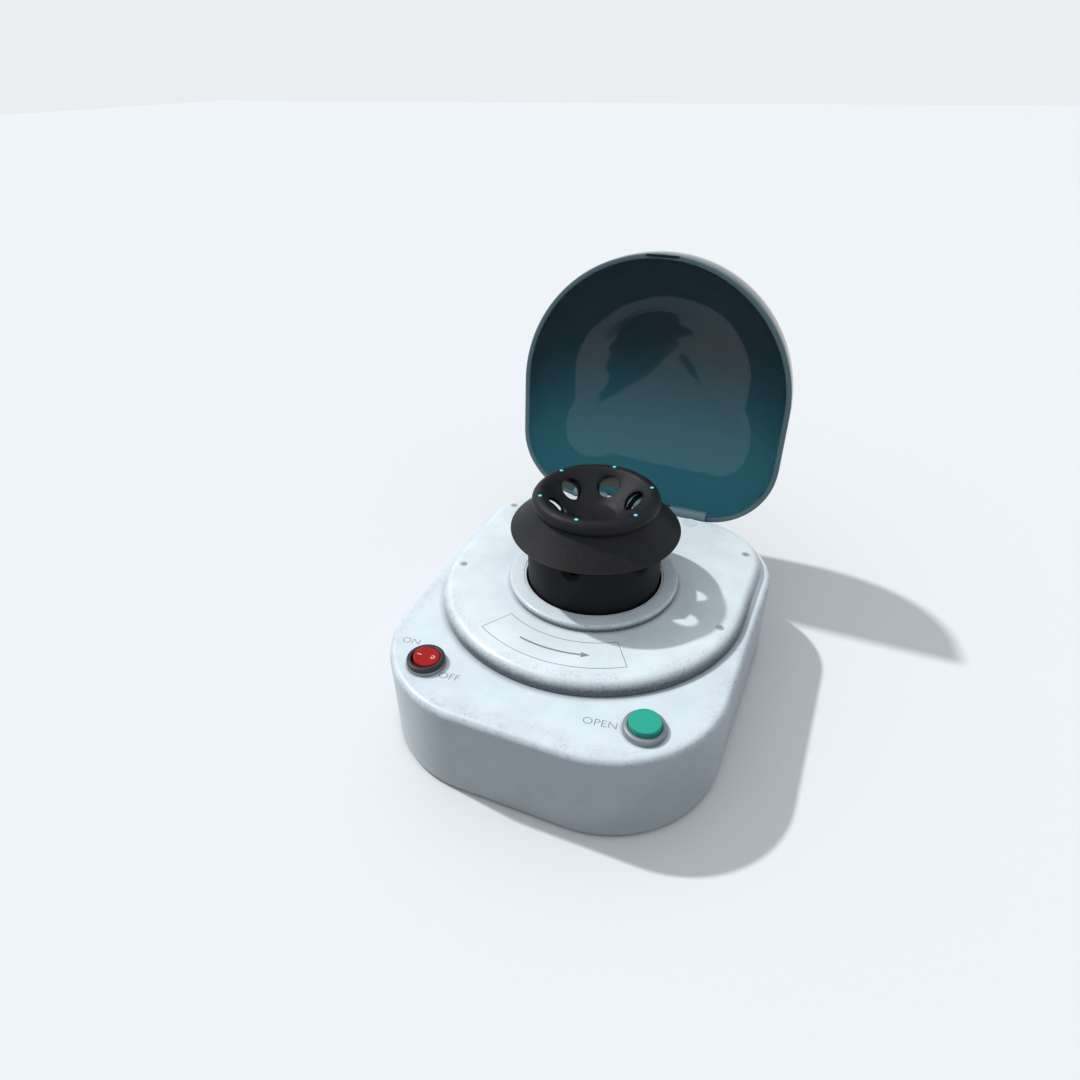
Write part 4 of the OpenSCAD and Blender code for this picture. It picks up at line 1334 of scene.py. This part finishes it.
@dataclass
class Buttons:
    """Power rocker in its bezel and the open button in its ring."""

    tilt: float = 7.0
    rocker_r: float = 6.3
    rocker_edge: float = 0.5
    rocker_below_pin: float = 2.5
    rocker_above_rim: float = 0.9
    scoop_r: float = 22.0
    scoop_half: float = 15.0
    scoop_above_rim: float = 0.5
    mark_from: float = -0.25
    mark_to: float = 0.04
    bar_half: tuple[float, float] = (1.6, 0.22)
    bar_at: tuple[float, float, float] = (-3.0, -0.5, 0.72)
    bar_lean: float = 13.0
    bar_turn: float = 16.0
    circle_r: tuple[float, float] = (0.75, 1.1)
    circle_at: tuple[float, float, float] = (2.9, 0.6, 0.69)
    circle_lean: float = -9.0
    sleeve_r: float = 7.9
    switch_ring_r: float = 8.0
    switch_ring_edge: float = 0.7
    bezel_bore_r: float = 6.9
    bezel_edge: float = 0.9
    bezel_lip: float = 0.5
    open_bore_r: float = 7.35
    open_edge: float = 1.2
    open_lip: float = 0.35
    cap_edge: float = 0.8
    cap_crown: float = 0.1
    cap_skirt: float = 3.0
    stem_r: float = 2.0

    @staticmethod
    def at(button: str) -> Matrix:
        """Place of a button's axis."""
        return Matrix.Translation((*BUTTONS[button], 0))

    def sleeved(self, bore: float, seat: float, node: str, edge: float, lip: float, steps: int) -> Solid:
        """Turns a ring that sits on a seat, with its sleeve in the panel's hole.

        Args:
            bore: Radius of its bore.
            seat: Height of the seat.
            node: The node whose foot, width and top it takes.
            edge: Round of its outer edge.
            lip: Round of its inner edge.
            steps: Steps of the inner round.

        Returns:
            The ring about Z.
        """
        low, high = box_mm(node)
        outer = (high.x - low.x) / 2
        ring = Section(bore, low.z).line((self.sleeve_r, low.z), (self.sleeve_r, seat), (outer, seat))
        return ring.outer_corner(outer, high.z, edge).inner_corner(bore, high.z, lip, steps).close().turned(96)

    def build_switch(self) -> None:
        """Metal ring, black bezel with its sleeve, and hollowed red rocker."""
        low, high = box_mm("switch_ring")
        outer, bore, place = (high.x - low.x) / 2, self.switch_ring_r, self.at("switch")
        ring = Section(bore, SHELF).line((outer, SHELF)).outer_corner(outer, high.z, self.switch_ring_edge)
        ring = ring.line((bore, high.z)).close().turned(96).moved(place)
        ring.piece("switch_ring_skin", "housing", Slot.RING_GREY, "switch_ring")
        bezel = self.sleeved(self.bezel_bore_r, high.z, "switch_bezel", self.bezel_edge, self.bezel_lip, 4)
        bezel.moved(place).piece("bezel_skin", "housing", Slot.SWITCH_BLACK, "switch_bezel")
        self.build_rocker(box_mm("switch_bezel")[1].z)

    def build_rocker(self, rim: float) -> None:
        """Rocker disc tilted to ON, its top hollowed along the pin, with I and O marks.

        Args:
            rim: Height of the bezel's rim.
        """
        pin = JOINTS["power_rocker"]["pos_m"][2] / MM
        disc = Solid.cylinder(self.rocker_r, pin - self.rocker_below_pin, rim + self.rocker_above_rim, 96)
        scoop_z = rim + self.scoop_above_rim + self.scoop_r
        scoop = Solid.cylinder(self.scoop_r, -self.scoop_half, self.scoop_half, 192)
        disc.cut(scoop.moved(quarter((0, 0, scoop_z), "X")))
        disc.rounded(self.rocker_edge, sharp(50, lambda middle: middle.z > rim), 4)
        tilt = self.at("switch") @ turn_about((0, 0, pin), "Y", self.tilt)
        disc.moved(tilt).piece("rocker_skin", "rocker", Slot.ROCKER_RED, "rocker")
        (along, across), (inner, outer) = self.bar_half, self.circle_r
        under, over, rise = self.mark_from, self.mark_to, Matrix.Translation((0, 0, rim))
        bar = Solid.block((-along, -across, under), (along, across, over))
        bar.moved(rise @ Matrix.Translation(self.bar_at) @ Matrix.Rotation(math.radians(self.bar_lean), 4, "Y")
                  @ round_z(self.bar_turn))
        circle = Section(inner, under).line((outer, under), (outer, over), (inner, over)).close().turned(40)
        circle.moved(rise @ Matrix.Translation(self.circle_at)
                     @ Matrix.Rotation(math.radians(self.circle_lean), 4, "Y"))
        bar.add(circle).moved(tilt).piece("rocker_marks", "rocker", Slot.ROCKER_RED, finish=Extra.INK_WHITE)

    def build_open(self) -> None:
        """Metal ring with its sleeve and the green cap, faintly crowned."""
        place = self.at("open")
        ring = self.sleeved(self.open_bore_r, SHELF, "button_ring", self.open_edge, self.open_lip, 3)
        ring.moved(place).piece("open_ring_skin", "housing", Slot.RING_GREY, "button_ring")
        low, high = box_mm("button_cap")
        radius, edge, skirt, stem = (high.x - low.x) / 2, self.cap_edge, SHELF - self.cap_skirt, self.stem_r
        rim = high.z - self.cap_crown
        cap = Section(0, high.z).line((radius / 2, high.z - 0.03), (radius - edge, rim))
        cap.arc(radius - edge, rim - edge, -90).line((radius, skirt), (stem, skirt), (stem, low.z), (0, low.z))
        cap.turned(96).moved(place).piece("open_cap_skin", "open_button", Slot.BUTTON_GREEN, "button_cap")


# ---------------------------------------------------------------- lettering


@dataclass
class Lettering:
    """Plain words by the buttons, and a bare framed panel with a turning arrow on the deck."""

    film: float = 0.04
    lean: float = 7.4
    words: tuple[tuple[str, float, float], ...] = (("ON", -68.3, -74.0), ("OFF", -39.0, -88.6), ("OPEN", 34.8, -88.4))
    size: float = 5.4
    widen: float = 1.12
    panel: tuple[float, float] = (51.5, 69.0)
    panel_half: float = 32.7
    line: float = 0.35
    thinner: float = 0.07
    steps_a_degree: float = 0.7
    arrow: tuple[float, float] = (-16.0, 14.0)
    arrow_half: float = 0.5
    arrow_head_r: float = 2.6
    arrow_head_at: float = 15.5
    arrow_head_shape: tuple[float, float] = (0.8, 1.1)

    def build_words(self) -> None:
        """Lays each word on the shelf as a thin film of ink."""
        for word, x, y in self.words:
            curve = bpy.data.curves.new(word, "FONT")
            curve.body = word
            curve.size = self.size
            curve.align_x = "CENTER"
            curve.align_y = "CENTER"
            curve.offset = -self.thinner
            curve.extrude = self.film / 2
            solid = Solid()
            solid.bm.from_mesh(settled(placed(word, curve)))
            bpy.data.curves.remove(curve)
            solid.moved(Matrix.Translation((x, y, SHELF + self.film / 2)) @ round_z(self.lean)
                        @ Matrix.Diagonal((self.widen, 1, 1, 1)))
            solid.piece(f"word_{word.lower()}", "housing", Slot.HOUSING_WHITE, finish=Extra.INK_GREY)

    def strip(self, inner: float, outer: float, start: float, end: float) -> Solid:
        """Makes a thin curved film on the deck.

        Args:
            inner: Its inner radius.
            outer: Its outer radius.
            start: Angle from the front in degrees where it starts.
            end: Angle where it ends.

        Returns:
            The film.
        """
        bm = bmesh.new()
        corners = [bm.verts.new((radius, 0, DECK + rise)) for radius, rise in
                   ((inner, 0), (outer, 0), (outer, self.film), (inner, self.film))]
        face = bmesh.ops.contextual_create(bm, geom=corners)["faces"][0]
        bmesh.ops.rotate(bm, verts=corners, matrix=Matrix.Rotation(math.radians(start - 90), 3, "Z"))
        bmesh.ops.spin(bm, geom=[face], cent=(0, 0, 0), axis=UP, angle=math.radians(end - start),
                       steps=max(1, round((end - start) * self.steps_a_degree)))
        return Solid(bm).outward()

    def build_panel(self) -> None:
        """Frame of four thin lines with a turning arrow inside."""
        near, far = self.panel
        half, line = self.panel_half, self.line
        panel = self.strip(near, near + line, -half, half).add(self.strip(far - line, far, -half, half))
        width = math.degrees(line / far)
        for start in (-half, half - width):
            panel.add(self.strip(near + line + self.film, far - line - self.film, start, start + width))
        middle = (near + far) / 2
        head = Solid.cylinder(self.arrow_head_r, DECK, DECK + self.film, 3)
        head.moved(round_z(self.arrow_head_at) @ Matrix.Translation((0, -middle, 0)) @ round_z(-90)
                   @ Matrix.Diagonal((*self.arrow_head_shape, 1, 1)))
        panel.add(self.strip(middle - self.arrow_half, middle + self.arrow_half, *self.arrow)).add(head)
        panel.piece("deck_panel", "housing", Slot.HOUSING_WHITE, finish=Extra.INK_GREY)


# ---------------------------------------------------------------- studio


@dataclass
class Studio:
    """Pale floor, soft daylight, one key lamp from the left, and the camera."""

    camera_from_axis: tuple[float, float, float] = (0.098305, -0.293983, 0.287351)
    camera_right: tuple[float, float, float] = (0.91886, 0.39438, -0.01257)
    camera_up: tuple[float, float, float] = (-0.20899, 0.51344, 0.83229)
    lens: float = 24.018
    sensor: float = 36.0
    key_way: tuple[float, float, float] = (0.78, -0.105, -1.0)
    key_power: float = 1.95
    key_spread: float = 2.2
    sky_level: float = 0.84
    sky_foot: float = 0.04
    backdrop: Linear = (0.83, 0.85, 0.87, 1)
    floor_bounce: Linear = (0.07, 0.07, 0.08, 1)
    floor_half: float = 6.0
    sky_colour: Linear = (0.92, 0.965, 1.0, 1)

    @staticmethod
    def seen(shop: Shop) -> Wire:
        """Finds what the camera sees straight, in gloss or through something clear.

        Args:
            shop: The material under construction.

        Returns:
            1 there, 0 for light that falls on the object.
        """
        path = shop.node("LightPath", out="Is Camera Ray")
        outputs = path.socket.node.outputs
        return path.at_least(Wire(shop, outputs["Is Glossy Ray"])).at_least(Wire(shop, outputs["Is Transmission Ray"]))

    def build_floor(self) -> None:
        """Lays a wide pale floor under the feet."""
        paper = Solid()
        bmesh.ops.create_grid(paper.bm, x_segments=1, y_segments=1, size=self.floor_half)
        mesh = paper.mesh("floor")
        paper.bm.free()
        shop = Shop("floor_paper")
        colour = shop.blend(self.seen(shop), self.floor_bounce, self.backdrop)
        mesh.materials.append(shop.shade(Base_Color=colour, Roughness=0.9, Specular_IOR_Level=0.1))
        floor = placed("floor", mesh)

    def build_light(self) -> None:
        """Sets the sky and the key lamp."""
        world = bpy.data.worlds.new("sky")
        bpy.context.scene.world = world
        world.use_nodes = True
        shop = Shop.over(world.node_tree, "ShaderNodeOutputWorld")
        height = shop.split(shop.node("TexCoord", out="Generated"))[2].at_least(0.0)
        lit = shop.node("Background", None, self.sky_colour, self.sky_foot + height * self.sky_level)
        shown = shop.node("Background", None, self.backdrop, 1.0)
        shop.show(shop.node("MixShader", None, self.seen(shop), lit, shown))
        lamp = bpy.data.lights.new("key", "SUN")
        lamp.energy = self.key_power
        lamp.angle = math.radians(self.key_spread)
        placed("key", lamp).rotation_euler = Vector(self.key_way).to_track_quat("-Z", "Y").to_euler()

    def build_camera(self) -> None:
        """Places the camera."""
        data = bpy.data.cameras.new("camera")
        data.lens = self.lens
        data.sensor_width = self.sensor
        camera = placed("camera", data)
        camera.location = Vector((0, AXIS_Y, 0)) + Vector(self.camera_from_axis)
        right, up = Vector(self.camera_right).normalized(), Vector(self.camera_up).normalized()
        camera.rotation_euler = Matrix((right, up, right.cross(up))).transposed().to_euler()
        bpy.context.scene.camera = camera


def dress_frame() -> None:
    """Gives every node of the frame the finish of its slot."""
    own = {"keeper_strip": Extra.DARK_STEEL}
    slot_of = {part["node"]: part["material_slot"] for part in frame["record"]["subparts"]}
    for name, node in frame["nodes"].items():
        material = finish_of(own.get(name) or Slot[slot_of[name].upper()])
        if not node.material_slots:
            node.data.materials.append(material)
        for holder in node.material_slots:
            holder.material = material
        LOG.info("%s: frame node in %s", name, material.name)


def main() -> None:
    """Builds every sub-assembly in order."""
    logging.basicConfig(level=logging.INFO, format="%(message)s")
    bpy.context.scene.view_settings.view_transform = "Standard"
    studio = Studio()
    studio.build_camera()
    studio.build_floor()
    studio.build_light()
    dress_frame()
    housing = Housing()
    housing.build_shell()
    housing.build_deck()
    housing.build_screws()
    housing.build_collar()
    rotor = Rotor()
    rotor.build_head()
    rotor.build_drum()
    Lid().build_shell()
    buttons = Buttons()
    buttons.build_switch()
    buttons.build_open()
    lettering = Lettering()
    lettering.build_words()
    lettering.build_panel()


if __name__ == "__main__":
    main()
